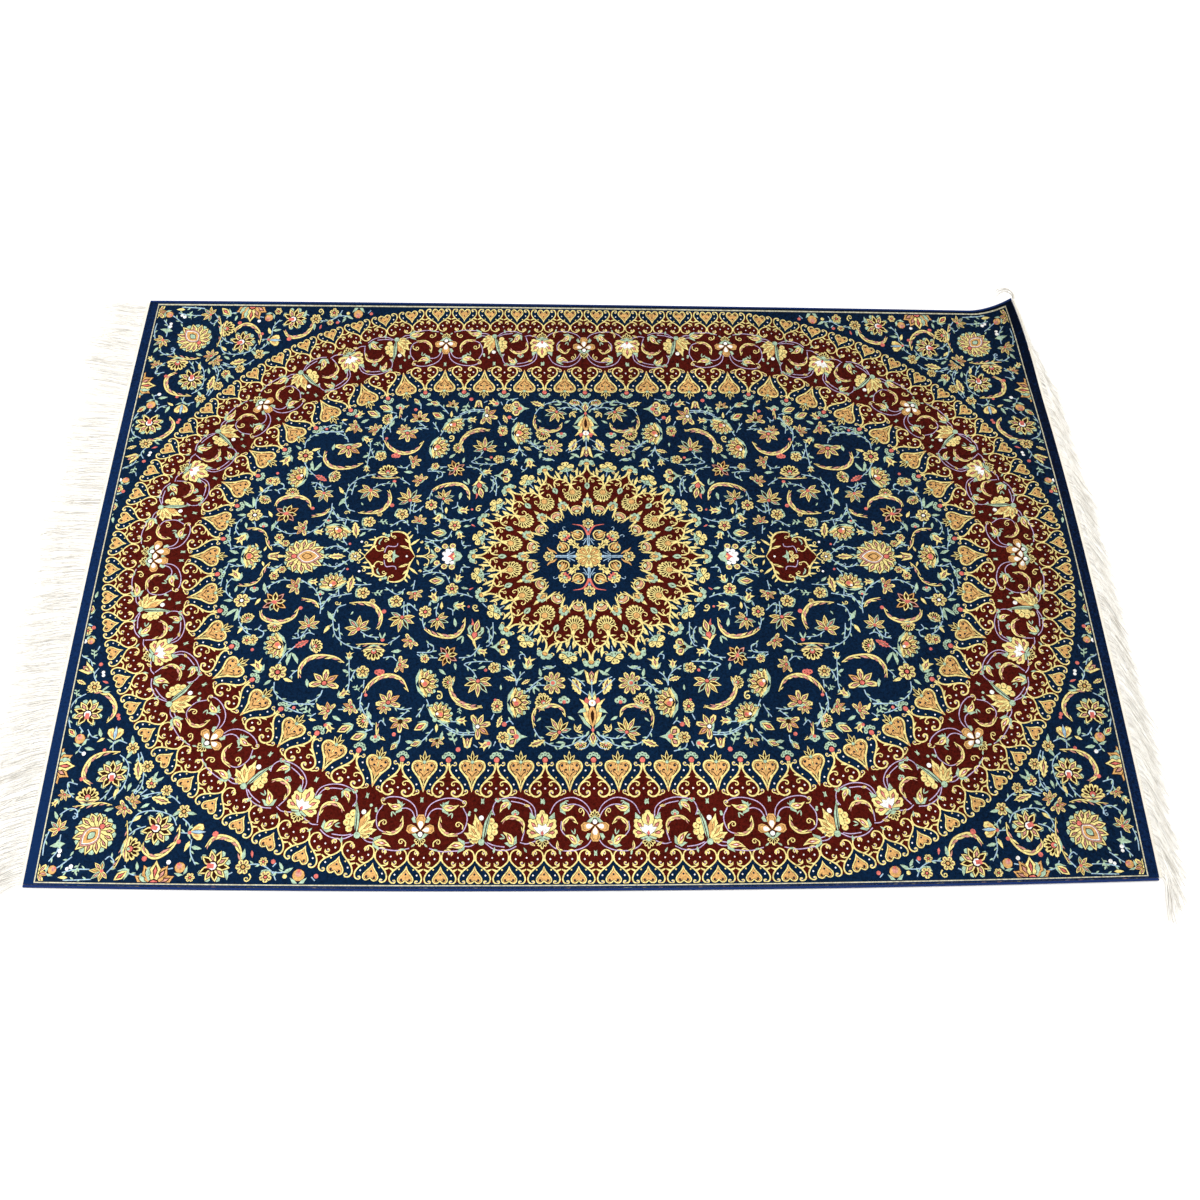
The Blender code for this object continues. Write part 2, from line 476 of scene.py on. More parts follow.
@motif
def feather(place, yarn="gold"):
    half = plot("0,-5 1.2,-3.4 0.9,-2.8 2.0,-1.4 1.4,-0.8 2.2,0.8 1.3,1.4 1.5,2.8 0.6,3.2 0,5")
    paint(yarn, mirrored(half, 1), place)
    draw(place, """
        slit brown -4 3.8 1.5
        slit rose -2.8 2.4 .7
    """)


@motif
def leaf(place, yarn="mint"):
    draw(place, "half yarn 0,-5 1.8,-1.8 1.3,1.8 0,5", yarn=yarn)


@motif
def pair(place, yarn="mint"):
    draw(place, "both yarn 0,-4 2,-2.6 3.8,1.2 3.2,4.4 1.4,1 .3,-2", yarn=yarn)


@motif
def trefoil(place, yarn="mint", core="coral"):
    for turn in (90, 20, 160):
        arm = within(place, 0, -1, turn)
        dot(yarn, 0, 2.6, 2.5, arm, 8)
        dot("brown", 0, 2.8, 0.75, arm, 4)
    dot(core, 0, -1.4, 1.7, place, 7)


@motif
def sprig(place, yarn="mint"):
    for y, side in ((-2.5, 1), (-1, -1), (1, 1), (2.2, -1)):
        paint(yarn, [(0, y), (side * 2.2, y + 0.8), (side * 2.8, y + 2.6), (side * 0.6, y + 1.6)], place)
    draw(place, "yarn 0,-5 .5,0 0,5 -.5,0", yarn=yarn)


# The grounds: navy corners, the red band with its pointed edges, the navy field


def filledOval(yarn, radius, roll):
    along = np.linspace(0.0, design["spine"] + roll * math.pi / 2, 60)
    edge = bend(0, radius, roll)(np.column_stack([along, np.zeros(60)]))
    paint(yarn, np.vstack([[0, 0], edge]))


paint("navy", plot("0,0 1,0 1,1 0,1") * (design["halfLength"], design["halfWidth"]))
filledOval("red", design["outerBand"]["base"] + 1, design["outerBand"]["roll"])
filledOval("navy", design["innerBand"]["base"] - 6, design["innerBand"]["roll"])


def bandUnits(band, offset=0.0):
    # places along a band, with its first at the rug's middle line
    last = design["spine"] + band["roll"] * math.pi / 2
    count = int(round(last / band["spacing"] * 2)) / 2
    s = offset * band["spacing"]
    places = []
    while s <= count * band["spacing"] + 0.1:
        places.append(s)
        s += band["spacing"]
    return places


# The inner band: red ogives that point at the field, and hearts between them


def ogive(s):
    band = design["innerBand"]
    place = bend(s, 0, band["roll"])
    side = plot("1.2,331 1.8,340 4.8,347 10.6,353.4 17,359.8 21.4,366.4 21.4,372.6 17.6,377.4")
    line = smooth(side, 3)
    paint("red", np.vstack([line, plot("15,380 -15,380"), line[::-1] * (-1, 1)]), place)
    climb = smooth([*side, (12.6, 379), (8, 377.6)], 3)[:-1]
    whole = np.vstack([climb, spiral(4.0, 0.85, 9, 100, -1) + (9.2, 373.4)])
    for hand in (-1, 1):
        paint("gold", ribbon(whole * (hand, 1), 2.3), place)
        # a second curl below it, a barb, and the small ring where it meets the foot of the heart
        draw(place, """
            dot lavender 9.2,373.4 1 5
            scroll gold 1.7 .2 3.6 .85 8 -80 1 8.4,361.8 18,361 14,358.4 10.4,357.8
            gold 10.4,352.4 4.6,350.6 3.4,352 10,355
            dot ivory 15,367.8 1.3 6
            curl gold 3.4 1.7 1 150 .95 9.4,332.8 1.6,342 3.4,336.6
            dot lavender 9.4,332.8 1 5
            dot ivory 11.6,342.6 1.3 6
            dot gold 15.6,352.6 1.2 6
            curl gold 3.5 1.6 1 110 .95 26.2,371.6 20,377 23.4,376.4
            dot lavender 26.2,371.6 .9 5
        """, hand)
    draw(place, "dot ivory 0,367.6 1.4 6")
    for turn in (-155, -122, -90, -58, -25):
        arm = within(place, 0, 326.6, turn)
        draw(arm, """
            dot mint+.35 0,7.6 3.1 8
            dot navy 0,7.8 1 5
        """)
    draw(place, """
        dot brown 0,327.8 4.6 9
        dot coral 0,327.8 3.9 9
    """)


def heart(s):
    place = bend(s, 0, design["innerBand"]["roll"])
    for turn, reach, wide in table("-158 10 3.6, -22 10 3.6, -126 13.5 5, -54 13.5 5, -90 17 5"):
        petal(within(place, 0, 331.4, turn), reach, wide, "gold", "brown")
    outline = mirrored(plot("""
        0,331.6 3.4,329 10.2,327.8 16.4,330 19,335.6 17.6,342 12.8,347.8 8,353.6 4.6,360 2.4,366 0,373
    """))
    edged("gold", outline, place, 0.5)
    paint("brown", grown(outline, -2.3), place)
    paint("apricot", grown(outline, -2.8), place)
    # scrolls climb each side and roll up in the lobes, with dark eyes
    for hand in (-1, 1):
        draw(place, """
            scroll brown 1.3 .2 3.6 .8 8 10 1 10.8,335.8 .9,360 5.4,352 10.8,345.6 14.6,338.6
            scroll brown 1.2 .2 2.6 .8 7 50 1 4.9,342.2 .8,351 3.6,346.6 7.4,344.6
            dot navy 10.8,335.8 1.7 6
            dot navy 4.9,341.8 1.35 6
            dot navy 9.6,343.6 1.1 5
        """, hand)
        draw(within(place, hand * 6.4, 351.4, 90 + hand * 38), "slit gold -3 3 2.4")
        draw(place, "dot gold 14.4,333 1.1 5 dot brown 4,333.8 1.2 5 dot ivory 9.6,362 1.3 6", hand)
    draw(place, """
        slit brown 332 346 3.2
        slit gold 333 345 1.8
        slit brown 348 366 2.8
        slit gold 350 364 1.6
        dot brown 0,330.6 2.9
        dot mint 0,330.6 2.4
    """)


for s in bandUnits(design["innerBand"]):
    ogive(s)
for s in bandUnits(design["innerBand"], 0.5):
    heart(s)


# The outer band: navy arches that point inwards, with a small heart in each


def arch(s):
    band = design["outerBand"]
    place = bend(s, 0, band["roll"])
    side = plot("0.8,457 1.8,464 6.6,469.4 13,474.2 18.6,479.6 21.6,486 20.6,491.6 17,494.6")
    line = smooth(side, 3)
    foot = plot("23,492 25.5,502 -25.5,502 -23,492")
    paint("navy", np.vstack([line[:-2], foot, line[:-2][::-1] * (-1, 1)]), place)
    foot = np.vstack([line[:-1], spiral(3.0, 0.8, 7, 60, -1) + (15.2, 491.6)])
    # from the arch's point a stem rises and rolls out into the red
    stem = smooth(plot("0.9,464 1.2,457.6 3.4,452.4 9,449.6 14.6,451.4"), 3)[:-1]
    roll = np.vstack([stem, spiral(4.3, 0.9, 9, 50, 1) + (12.2, 454.4)])
    for hand in (-1, 1):
        paint("gold", ribbon(foot * (hand, 1), 1.9), place)
        draw(place, "dot lavender 15.2,491.6 .9 5", hand)
        paint("gold", ribbon(roll * (hand, 1), 1.8, 0.2), place)
        draw(place, """
            dot lavender 12.2,454.4 1 5
            scroll gold 1.6 .2 3.6 .9 8 0 -1 17,466.8 11,472.6 16.4,472.2 20.2,470.2
            dot lavender 17,466.8 1 5
            gold 15.6,476.4 22.8,474 23.2,475.4 17.4,479
            dot ivory 8.6,461.6 1.3 6
            dot gold 9.8,475.4 1.2 6
            dot ivory 15,482.6 1.2 6
        """, hand)
    draw(place, "dot ivory 23.5,460 1.2 6")
    outline = mirrored(plot("0,470.4 2.8,476.4 7.4,481.6 10.8,486.8 10,492 5.6,494.6 1.8,492.8 0,490.8"), 2)
    edged("gold", outline, place, 0.4)
    paint("brown", grown(outline, -1.6), place)
    paint("apricot", grown(outline, -2.1), place)
    draw(place, "dot navy 0,481.4 1.5 6")
    for hand in (-1, 1):
        paint("brown", ribbon((spiral(3.0, 0.8, 7, 160, 1) + (4.9, 488.8)) * (hand, 1), 1.1), place)
        dot("navy", hand * 4.9, 489.4, 1.3, place, 6)


for s in bandUnits(design["outerBand"], 0.5):
    arch(s)


# The red band's flowers grow inwards; its vines arch between them


def whitePalmette(place):
    for side in (-1, 1):
        edged("mint", plot("1,-15 5,-8 13,-3 19.5,1.5 12,-7.5 6,-13", side), place, 0.5)
        paint("mint", plot("6,7 10,16 13.5,12 10.5,7", side), place)
        arm = within(place, side * 1.6, -3.6, 90 - side * 80)
        draw(arm, """
            round apricot+.8 18.5 12.5
            round brown 0,1.6 14.6 9.2
            round apricot 0,2 13.6 8.2
            round ivory 0,1.4 9.6 6.6
        """)
    draw(place, """
        round apricot+.8 0,-3 22 13.4
        round brown 0,-1 17.8 9.8
        round apricot 0,-.4 16.6 8.6
        round ivory 0,-1.6 11 7.4
        dot brown 0,-8.4 4.2 9
        dot ivory 0,-8.4 3.4 8
    """)
    for turn, reach in ((-160, 8.4), (-20, 8.4), (-125, 8.8), (-55, 8.8), (-90, 10.4)):
        petal(within(place, 0, -14.6, turn), reach, 4.2, "gold", "brown", 0)
    draw(place, "dot mint 0,-14.4 1.8 6")


def goldPalmette(place):
    draw(place, """
        both mint 0,-11 8,-13.5 17,-6 11,-4.6 5,-3
        both mint 8,12 15,18.5 15.5,11.5 12,8
    """)
    low = within(place, 0, -8)
    for turn, reach, wide in table("-78 19 12.5, 78 19 12.5, -42 24 13, 42 24 13, 0 29 14.5"):
        arm = within(low, 0, 0, 90 + turn)
        edge = plot("0,0 .7,.42 1.02,.6 .95,.8 .5,.86 .3,.98 0,1") * (wide / 2, reach)
        edged("gold", mirrored(edge, 1), arm, 0.8)
        paint("brown", slit(reach * 0.36, reach * 0.86, 4.8), arm)
        paint("coral", slit(reach * 0.42, reach * 0.8, 3.2), arm)
        paint("rose", slit(reach * 0.48, reach * 0.74, 1.7), arm)
    draw(place, """
        ivory+.5 0,-9 7,-4 10.6,1 5.6,1 4.4,5 0,2 -4.4,5 -5.6,1 -10.6,1 -7,-4
        half coral+.4 0,-9 1.8,-6.2 0,-3
    """)
    for turn, reach in ((-165, 8.6), (-15, 8.6), (-128, 8.2), (-52, 8.2), (-90, 10)):
        petal(within(place, 0, -14.8, turn), reach, 4.2, "gold", "brown", 0)
    draw(place, "mint -4.4,-13.6 0,-11 4.4,-13.6 0,-16")


def tiltedPalmette(place):
    # a long leaf with a half flower on one side and ragged petals on the other
    for y, x in ((-12, -11.5), (-5, -16.5), (2.6, -16.5), (8.6, -12)):
        edged("gold", ring(4.3, 8) + (x, y), place, 0.6)
        dot("apricot", x, y, 1.6, place, 5)
    edged("gold", mirrored(plot("0,-8 3,-4 3,3 0,8"), 1) + (-9.6, -2.4), place, 0.5)
    low = within(place, 1.6, -15)
    for turn, reach, wide in ((-98, 15, 7.5), (-68, 24, 9), (-40, 28, 9), (-14, 34, 9.5)):
        arm = within(low, 0, 0, 90 + turn)
        edge = plot("0,0 1,.4 .6,.5 1.1,.66 .5,.78 0,1") * (wide / 2, reach)
        edged("gold", mirrored(edge, 1), arm, 0.7)
        edged("apricot", sharpPetal(reach * 0.42, 2.6) + (0, reach * 0.3), arm, 0.5)
    draw(place, """
        mint+.6 -1,-19 -5.4,-8 -8.4,6 -13.4,25.5 -3.6,8 -.8,-6
        line brown 1.5 2 .5 -2.6,-14 -6,4 -10.8,20
        apricot+.5 .4,-12 -1,2 3.4,9.4 4.6,0
        dot ivory+.5 1.2,12.6 3.3 8
        dot mint+.5 .4,-17.6 4.2 8
    """)
    for x, y in ((17.6, 17), (9, 22.6)):
        dot("mint", x, y, 2.2, place, 6)


@motif
def curlBud(place):
    draw(place, "curl gold 3.6 1.5 1 180 1.1 0,0 -2,-7 -4.4,-3.4")


@motif
def vineBud(place):
    # a tulip laid along the vine, with its own leaves
    draw(place, """
        both mint 0,-9 4.6,-8.6 8.4,-1 4.6,-2
        gold+.5 0,-8 3.4,-5 3.2,0 2.2,4 3.4,11 -.8,7 -3.8,3 -4.2,-3
        slit brown -6 6.6 4.2
        slit coral -5 5.2 2.9
        slit ivory -2.6 3 1.3
    """)


def barbs(place, text):
    # pointed leaves, each with its x, y, turn, length and width
    for x, y, turn, length, wide in table(text):
        paint("gold", spot(x, y, turn)(sharpPetal(length, wide)), place)


def vines(place, text):
    for line in text.split("/"):
        stroke("lavender", plot(line), 1.35, place, 4)


def loopAfterGold(place):
    vines(place, """
        -32,10 -30,22 -20,31 -4,36 12,35 23,30 27,20 24,12 / -28,12 -24,22 -13,28 2,31 / -32,-22
        -20,-26 -11,-24 / 38,-23 24,-33 6,-34 -6,-29 / 34,-24 24,-28 10,-30 / -13,-22 -16.5,-6 -9,6
    """)
    serrated(plot("-14,-12 -15.5,0 -8.7,8 5,10 15,3"), 6, 6, place)
    scatter(place, """
        vineBud 11 25 -40 1, trefoil -4 15 90 1.1, vineBud 3 -19 60 1.15, pair 13 -17 20 0.9,
        feather -20 25 10 0.9, feather -27 -26 30 1.0, leaf -18 -34 60 0.8, leaf 24 -34 100 0.9,
        trefoil 20 33 -90 0.9
    """)
    draw(place, "dot mint 27,14 1.7")


def loopBeforeWhite(place):
    vines(place, """
        36,9 33,21 24,30 8,35 -8,34 -18,28 / 33,8 28,17 20,21 12,20 / -15,22 -21,8 -16,-9 -2,-15 /
        -36,-22 -26,-29 -10,-28 / -34,-20 -24,-24 -14,-25 / 28,-32 12,-36 -10,-35
    """)
    serrated(plot("15,10 15.5,-4 6,-14 -9,-15"), 5.6, 6, place)
    scatter(place, """
        vineBud 3 22 180 1.15, pair 1 12 -60 0.9, curlBud -16 29 150 1, curlBud -9 -1 60 1.15,
        curlBud 17 -24 120 1.1 -1, vineBud -8 -28 0 1.2, pair -28 -21 60 0.8, pair 13 26 60 0.7,
        leaf 20 -34 10 0.8
    """)
    draw(place, "dot mint -24,16 1.7")
    scatter(place, "leaf 33 -28 40 0.7")


def loopWhiteToGold(place):
    vines(place, """
        -37,9 -32,22 -22,31 -8,36 8,34 21,27 29,14 / -34,8 -29,17 -20,24 -8,27 6,25 / -36,-19
        -28,-28 -12,-34 8,-35 24,-30 34,-20 / 11,4 12,-6 6,-14 -3,-18
    """)
    serrated(plot("-14,0 -5,9 8,3 9,-8"), 5.6, 5, place)
    scatter(place, """
        vineBud 3 22 180 1.15, pair 3 30 200 0.7, curlBud -19 18 80 1.1, vineBud -6 -20 40 1.2, pair
        -8 -10 70 0.9, bud -17 -24 160 1.1
    """)
    serrated(plot("17,-22 18,-30 12,-36"), 4.6, 3, place)
    scatter(place, "leaf 14 -37 70 0.8, leaf 38 30 90 0.8")


redFlowers = {"W": whitePalmette, "G": goldPalmette, "T": tiltedPalmette}
redOrder = "WGTWTGTWTGTW"
redPlaces = [0, 73, 156, 242, 327, 408, 490, 571, 652, 734, 812, 893]
band = design["redBand"]


def redLoop(k):
    # the vines between one flower and the next, drawn in to the space between them
    pair, middle = redOrder[k : k + 2], (redPlaces[k] + redPlaces[k + 1]) / 2
    gap = (redPlaces[k + 1] - redPlaces[k]) / 82
    loop = bend(middle, band["middle"], band["roll"], -1)
    place = lambda points: loop(np.asarray(points, dtype=float) * (gap, 1))
    if k == 0:
        loopWhiteToGold(within(place, 0, 0, 90))
    elif pair in ("GT", "TG"):
        loopAfterGold(within(place, 0, 0, 90, 1, 1 if pair == "GT" else -1))
    else:
        loopBeforeWhite(within(place, 0, 0, 90, 1, 1 if pair == "TW" else -1))


for k, kind in enumerate(redOrder):
    flip = -1 if kind == "T" and k in (4, 8) else 1
    place = bend(redPlaces[k], band["middle"], band["roll"], -1)
    if k + 1 < len(redOrder):
        redLoop(k)
    for side in (-1, 1):
        leaf(within(place, side * 0.1, (33 if k else -38) if kind == "W" else 31, 90 - side * 28, 0.9))
    y, turn, size = {"W": (-5, 90 if k else -90, 1.0), "G": (-5, 90, 1.14), "T": (-5, 90, 1.06)}[kind]
    redFlowers[kind](within(place, 0, y, turn, size, flip))


# The medallion, sixteen times round


def around(turn, hand=1):
    # a wedge of the medallion: x runs round a circle, y out from the middle
    def place(points):
        points = np.asarray(points, dtype=float)
        angle = math.radians(turn) + hand * points[:, 0] / 130
        return np.column_stack([np.cos(angle), np.sin(angle)]) * points[:, 1:]

    return place


def roundAbout(radii):
    # a closed edge that repeats sixteen times, from its radii over one repeat
    steps = len(radii)
    angles = np.arange(16 * steps) * 2 * math.pi / (16 * steps)
    reach = np.tile(radii, 16)
    return np.column_stack([np.cos(angles), np.sin(angles)]) * reach[:, None]


halfEdge = [172, 165, 161, 158.6, 156.4, 153.8, 151, 147.6, 142]
paint("red", roundAbout(np.array(halfEdge + halfEdge[-2:0:-1]) - 0.4))
paint("navy", roundAbout([101, 100, 98, 96.5, 96, 96.5, 98, 100]))

for k in range(5):
    for side in (-1, 1):
        wedge = around(22.5 * k, side)
        # the vine climbs from the fan to the point between two fans, with leaves outside
        draw(wedge, """
            line gold 2.3 25.5,128 24.7,137 23.6,143.4 20.4,149.2 14.6,154 8.4,158 4.2,162.4 1.7,169 .9,182
        """)
        barbs(wedge, """
            22.8 145 94 17 3.2, 14.4 153.6 98 20 3.6, 18.6 150.4 75 10 2.4, 9.4 157 96 9 2.2, 24.2
            140 168 8.5 2.8, 20.6 148.6 196 7.5 2.4, 13 155.4 200 6.5 2.2
        """)
        draw(wedge, """
            curl gold 3.1 1.5 -1 190 .95 17.2,167.4 13.8,158 13.4,164
            dot rose 17.2,167.4 .9 5
        """)
        # the hook that holds the mint leaf, and its ring
        draw(wedge, """
            line gold 1.7 3 15.4,153.6 10.4,155.4 5.6,153.4 2.8,148.6 2.4,141.6
            curl gold 3 1.4 1 130 .95 8,144.8 4.6,152
            dot rose 8,144.8 .9 5
            dot gold 5.4,157.2 .9 5
        """)
        # the big curl beside the fan, and the crown over the point
        draw(wedge, """
            line gold 1.7 3 .3 24.6,141 23,133 19.6,127.8 14.8,126.4 11.4,129.2 11.8,133.4 14.8,134 15.6,131.2
            curl gold 3.1 1.6 1 150 .9 7.4,177 1,170 2,178 4.4,180.4
            gold 0,92.6 3.4,98.4 12.4,104.6 9.4,99.4 4,95.4
            gold 1,101 6,103.4 8.6,107 3.6,106
        """)
    wedge = around(22.5 * k)
    draw(wedge, """
        curve mint+.5 0,128.4 3.4,132.4 3.9,136.8 2.2,140.2 0,142
        slit brown 131.4 140 1.9
        half gold+.4 0,122 1.8,117.6 3.4,113.4 0,112.6
    """)
    for middle, reach, lobe, heart in ((103.4, 6.4, 3.3, 3.2), (180.6, 6.2, 3.1, 2.7)):
        for turn in (0, 180, 38, 142, 90):
            dot("mint", 0, reach, lobe, within(wedge, 0, middle, turn), 8)
        for turn in (20, 64, 116, 160):
            dot("brown", 0, reach + 0.8, 0.7, within(wedge, 0, middle, turn), 4)
        dot("brown", 0, middle, heart + 0.5, wedge, 8)
        dot("apricot", 0, middle, heart, wedge, 7)
    draw(wedge, "half apricot+.5 0,95.6 3.2,99.4 2,103.4 0,101.8")
for k in range(4):
    wedge = around(11.25 + 22.5 * k)
    # the fan is half a flower that opens inwards
    draw(wedge, "line gold 3.6 1 .3 0,126 0,141")
    for i in (0, 8, 1, 7, 2, 6, 3, 5, 4):
        arm = within(wedge, 0, 124.4, -90 + (i - 4) * 21.5)
        edged("gold", roundPetal(19.2 - 0.22 * (i - 4) ** 2, 5.8), arm, 0.75)
        draw(arm, "slit brown 4.4 15.4 2.6")
    paint("brown", ring(5.7, 9, 0.3) + (0, 125), wedge)
    paint("apricot", ring(4.9, 9, 0.3) + (0, 125), wedge)
    # a cup below it, held by two long leaves
    draw(wedge, """
        both gold+.4 12,80.6 15.8,84 17.2,91 20.6,104.4 14.4,98 13.4,88
        both gold 3,82 5.4,77.6 7.4,82.6
    """)
    cup = mirrored(plot("0,98.4 7.4,97.4 13,92.6 12.8,87.4 7.4,83 0,82"), 2)
    edged("gold", cup, wedge, 0.5)
    draw(wedge, """
        curve brown 0,96.8 6.8,95.8 11.2,91.8 11,88 6.6,84.6 0,83.8
        curve rose 0,96 6.4,95 10.4,91.4 9.6,88.6 5.6,90.2 0,91.2
        half apricot 0,94.6 5.4,93.6 8.6,90.6 4.8,91.6 0,92.4
        ivory 4.4,95.2 8.4,93.4 9.6,91.4 6,93.2
        half gold 0,90.4 6.4,88.6 4.6,85.6 0,84.8
        half mint 0,89.4 4.6,88 3.2,86.2 0,85.8
    """)
    # and a clover above, in the dip between two points
    draw(wedge, "line sky 1.2 1 0,157 0,166")
    for turn in (0, 180, 90, -90):
        arm = within(wedge, 0, 176.4, turn)
        edged("mint" if turn < 0 else "gold", roundPetal(9.8, 9.2) + (0, 0.6), arm, 0.4)
        for side in (-1, 1):
            draw(within(arm, side * 1.9, 0.4), "slit brown 3.4 7.6 1.5")
    draw(wedge, "both mint 2,168.6 6.6,167.6 9,171 5,171.4")

# round the middle: a rosette, four spokes, and the flowers between them
for turn in (0, 90):
    place = spot(0, 0, turn)
    draw(place, """
        half sky 2.6,19 1.9,30 2.3,44 1.6,54 0,57
        line navy .9 1 0,24 0,50
        both line sky 1.2 3 2.2,34 5.4,27 8.6,22
        both line sky 1 3 4.4,34 7.4,30 10.2,30
    """)
    bloom(within(place, 0, 62, 90, 1.9), 6, "mint")
    # a bulb on either side, with an apricot bud in it
    for side in (-1, 1):
        arm = within(place, side * 16.6, 40, 90 - side * 64, 1, side)
        bulb = smooth(plot("-6,-8 -10,-2 -8,5 -2,9.4 5,8.4 9.4,2 8.6,-5 3,-9.4 -6,-8"), 2)[:-1]
        edged("gold", bulb, arm, 0.5)
        paint("brown", bulb * 0.8, arm)
        for x, reach, wide in ((-3.6, 13, 3.4), (3.8, 13, 3.4), (0, 19, 5.4)):
            edged("apricot", sharpPetal(reach, wide) + (x, -6), arm, 0.5)
        draw(arm, """
            slit gold -3.4 8 2
            dot mint+.5 -4.4,2.6 2 7
        """)
for side in (-1, 1):
    strand = ribbon(smooth(plot("0.4,40 4.4,50 11,57.6 25,60.4", side), 4), 3.8, 0.8)
    edged("coral", strand, spot(0, 0, 90), 0.4)
    strand = ribbon(smooth(plot("4.4,50 9,55 11.4,61 16.6,65", side), 3), 3.2, -1)
    edged("apricot", strand, spot(0, 0, 0), 0.4)
arm = spot(0, 0, 45)
# oak leaves on the slants
draw(arm, """
    half gold+.5 0,19 2.4,23 2,26 6.6,27.4 3.4,31 3.2,33 7.4,36.6 3.6,38 4.4,43.4 1.6,42 0,46.4
    slit brown 21 41 1.5
""")
for side in (-1, 1):
    stroke("brown", [(0, 27), (side * 4, 30)], 0.8, arm, 1)
    stroke("brown", [(0, 33), (side * 4.4, 37)], 0.8, arm, 1)
    draw(arm, "curl sky 3.4 1.3 1 180 .55 11.4,64.4 5,60 7.4,61", side)
for i in (0, 4, 1, 3, 2):
    leafArm = within(arm, 0, 54, 90 + (i - 2) * 58)
    draw(leafArm, """
        round gold+.45 10.4 7.6
        slit brown 3.4 8.6 2.4
    """)
draw(arm, """
    coral+.4 -7,52 -5.4,45.4 -1.8,48 0,43.4 1.8,48 5.4,45.4 7,52 0,49.4
    dot brown 0,54 2.9 8
    dot mint 0,54 2.3 8
""")
# the rosette: eight wide petals on a scalloped edge
for i in range(16):
    arm = spot(0, 0, 22.5 * i + 11.25)
    draw(arm, """
        round gold+.4 21.6 8.2
        dot brown 0,17.2 1.9 7
        dot apricot 0,17.2 1.4 7
    """)
for i in range(8):
    arm = spot(0, 0, 45 * i)
    half = plot("0,2 2.6,7 5.4,13 4.6,17.6 2.2,18.8 0,17.2")
    edged("apricot" if i % 2 else "gold", mirrored(half, 1), arm, 0.6)
    draw(arm, "slit brown 4.6 16.6 4.4")
    paint("gold" if i % 2 else "apricot", slit(6, 15.6, 2.8), arm)
draw(None, """
    dot brown 0,0 4.4 10
    dot gold 0,0 3.8 10
    dot mint 0,0 2.5 8
""")
print("  medallion and bands:", len(shapes), "shapes in a quarter")


# The field and the corners: motifs with their x and y on the rug, the way they grow, their
# length, and for some the yarn of the eye


def onRug(x, y):
    # from a place on the rug to the same place in the mirrored pattern
    along, across = x / design["halfLength"], y / design["halfWidth"]
    return (
        x - design["middle"][0] * (1 - along**2),
        y - design["middle"][1] * (1 - across**2) - 9 * across**2 * (1 - along**2),
    )


@motif
def rosette(place, core="coral"):
    bloom(place, 6, core)


@motif
def flower(place, core="coral"):
    draw(place, "both mint 0,-5.4 3.4,-4.8 4.8,-1 1.6,-2")
    bloom(within(place, 0, 0.6), 5, core)


@motif
def daisy(place, core="coral"):
    draw(place, "both mint 0,-5 3,-4.6 4.6,-1.2 1.6,-2")
    for i in (0, 7, 1, 6, 2, 5, 3, 4):
        share = i / 7 - 0.5
        arm = within(within(within(place, 0, -1.8), 0, 0, 90 + share * 282), 0, 0.8)
        petal(arm, 5.2 * (1 + 0.2 * (0.5 - (2 * share) ** 2)), 2.3, "gold", "rose", 0)
    dot("mint", 0, -1.8, 1.7, place, 7)
    dot(core, 0, -1.8, 1.1, place, 6)


@motif
def starLily(place, core="coral"):
    # pointed petals all round, of three yarns
    ways = table("apricot 5.2, gold 4.4, rose 5, mint 4, gold 4.6, apricot 5.3, gold 4.2, rose 5, gold 4.6")
    for i, (yarn, reach) in enumerate(ways):
        petal(within(place, 0, 0, 20 + 40 * i), reach, 2.2, yarn, "brown", 1, 0.25)
    dot(core, 0, 0, 0.9, place, 6)


@motif
def wideFan(place, core="coral"):
    # long pointed petals from a bright eye, each with another yarn in it
    for i, turn in enumerate((-106, 106, -72, 72, -38, 38, 0)):
        yarn, mark = "mint" if i in (0, 5) else "gold", ("rose", "apricot", "brown")[i % 3]
        petal(within(place, 0, -3.2, 90 + turn), 8.8 - abs(turn) * 0.018, 2.5, yarn, mark, 1, 0.2)
    dot("brown", 0, -3.2, 1.4, place, 7)
    dot(core, 0, -3.4, 1.0, place, 6)


@motif
def curl(place, yarn="gold"):
    volute(yarn, place, 0, 0.6, 3.0, 1.5, 1, 180, plot("1,-5 -2.4,-3.4"), 1.05)


@motif
def berry(place, yarn="coral"):
    dot(yarn, 0, 0, 5, place, 7)


@motif
def sprout(place, core="rose"):
    # a ragged bud that leans out of its leaves
    draw(place, """
        gold 0,-4 2.6,-1 1.8,1 4.6,3.8 1.2,2.6 .4,5 -.8,2.4 -3.6,3.4 -1.8,.4 -2,-2
        slit brown -2.8 2.8 1.9
        slit core -1.8 2 1
        both mint 0,-5 2.4,-4 4,-.6 1.2,-2.2
    """, core=core)


def fitted(kind, x, y, turn, size, *eye):
    # a motif is drawn once to see how large it comes out, and then at its place and size
    if kind not in outlines:
        before = len(shapes)
        motifs[kind](spot(0, 0))
        drawn = np.vstack([outline for _, outline in shapes[before:]])
        del shapes[before:]
        low, high = drawn.min(axis=0), drawn.max(axis=0)
        outlines[kind] = (low + high) / 2, np.max(high - low)
    (aside, along), reach = outlines[kind]
    motifs[kind](within(spot(x, y, turn, size / reach), -aside, -along), *eye)


outlines = {}


def plant(text):
    for kind, x, y, *rest in table(text):
        fitted(kind, *onRug(x, y), *rest)


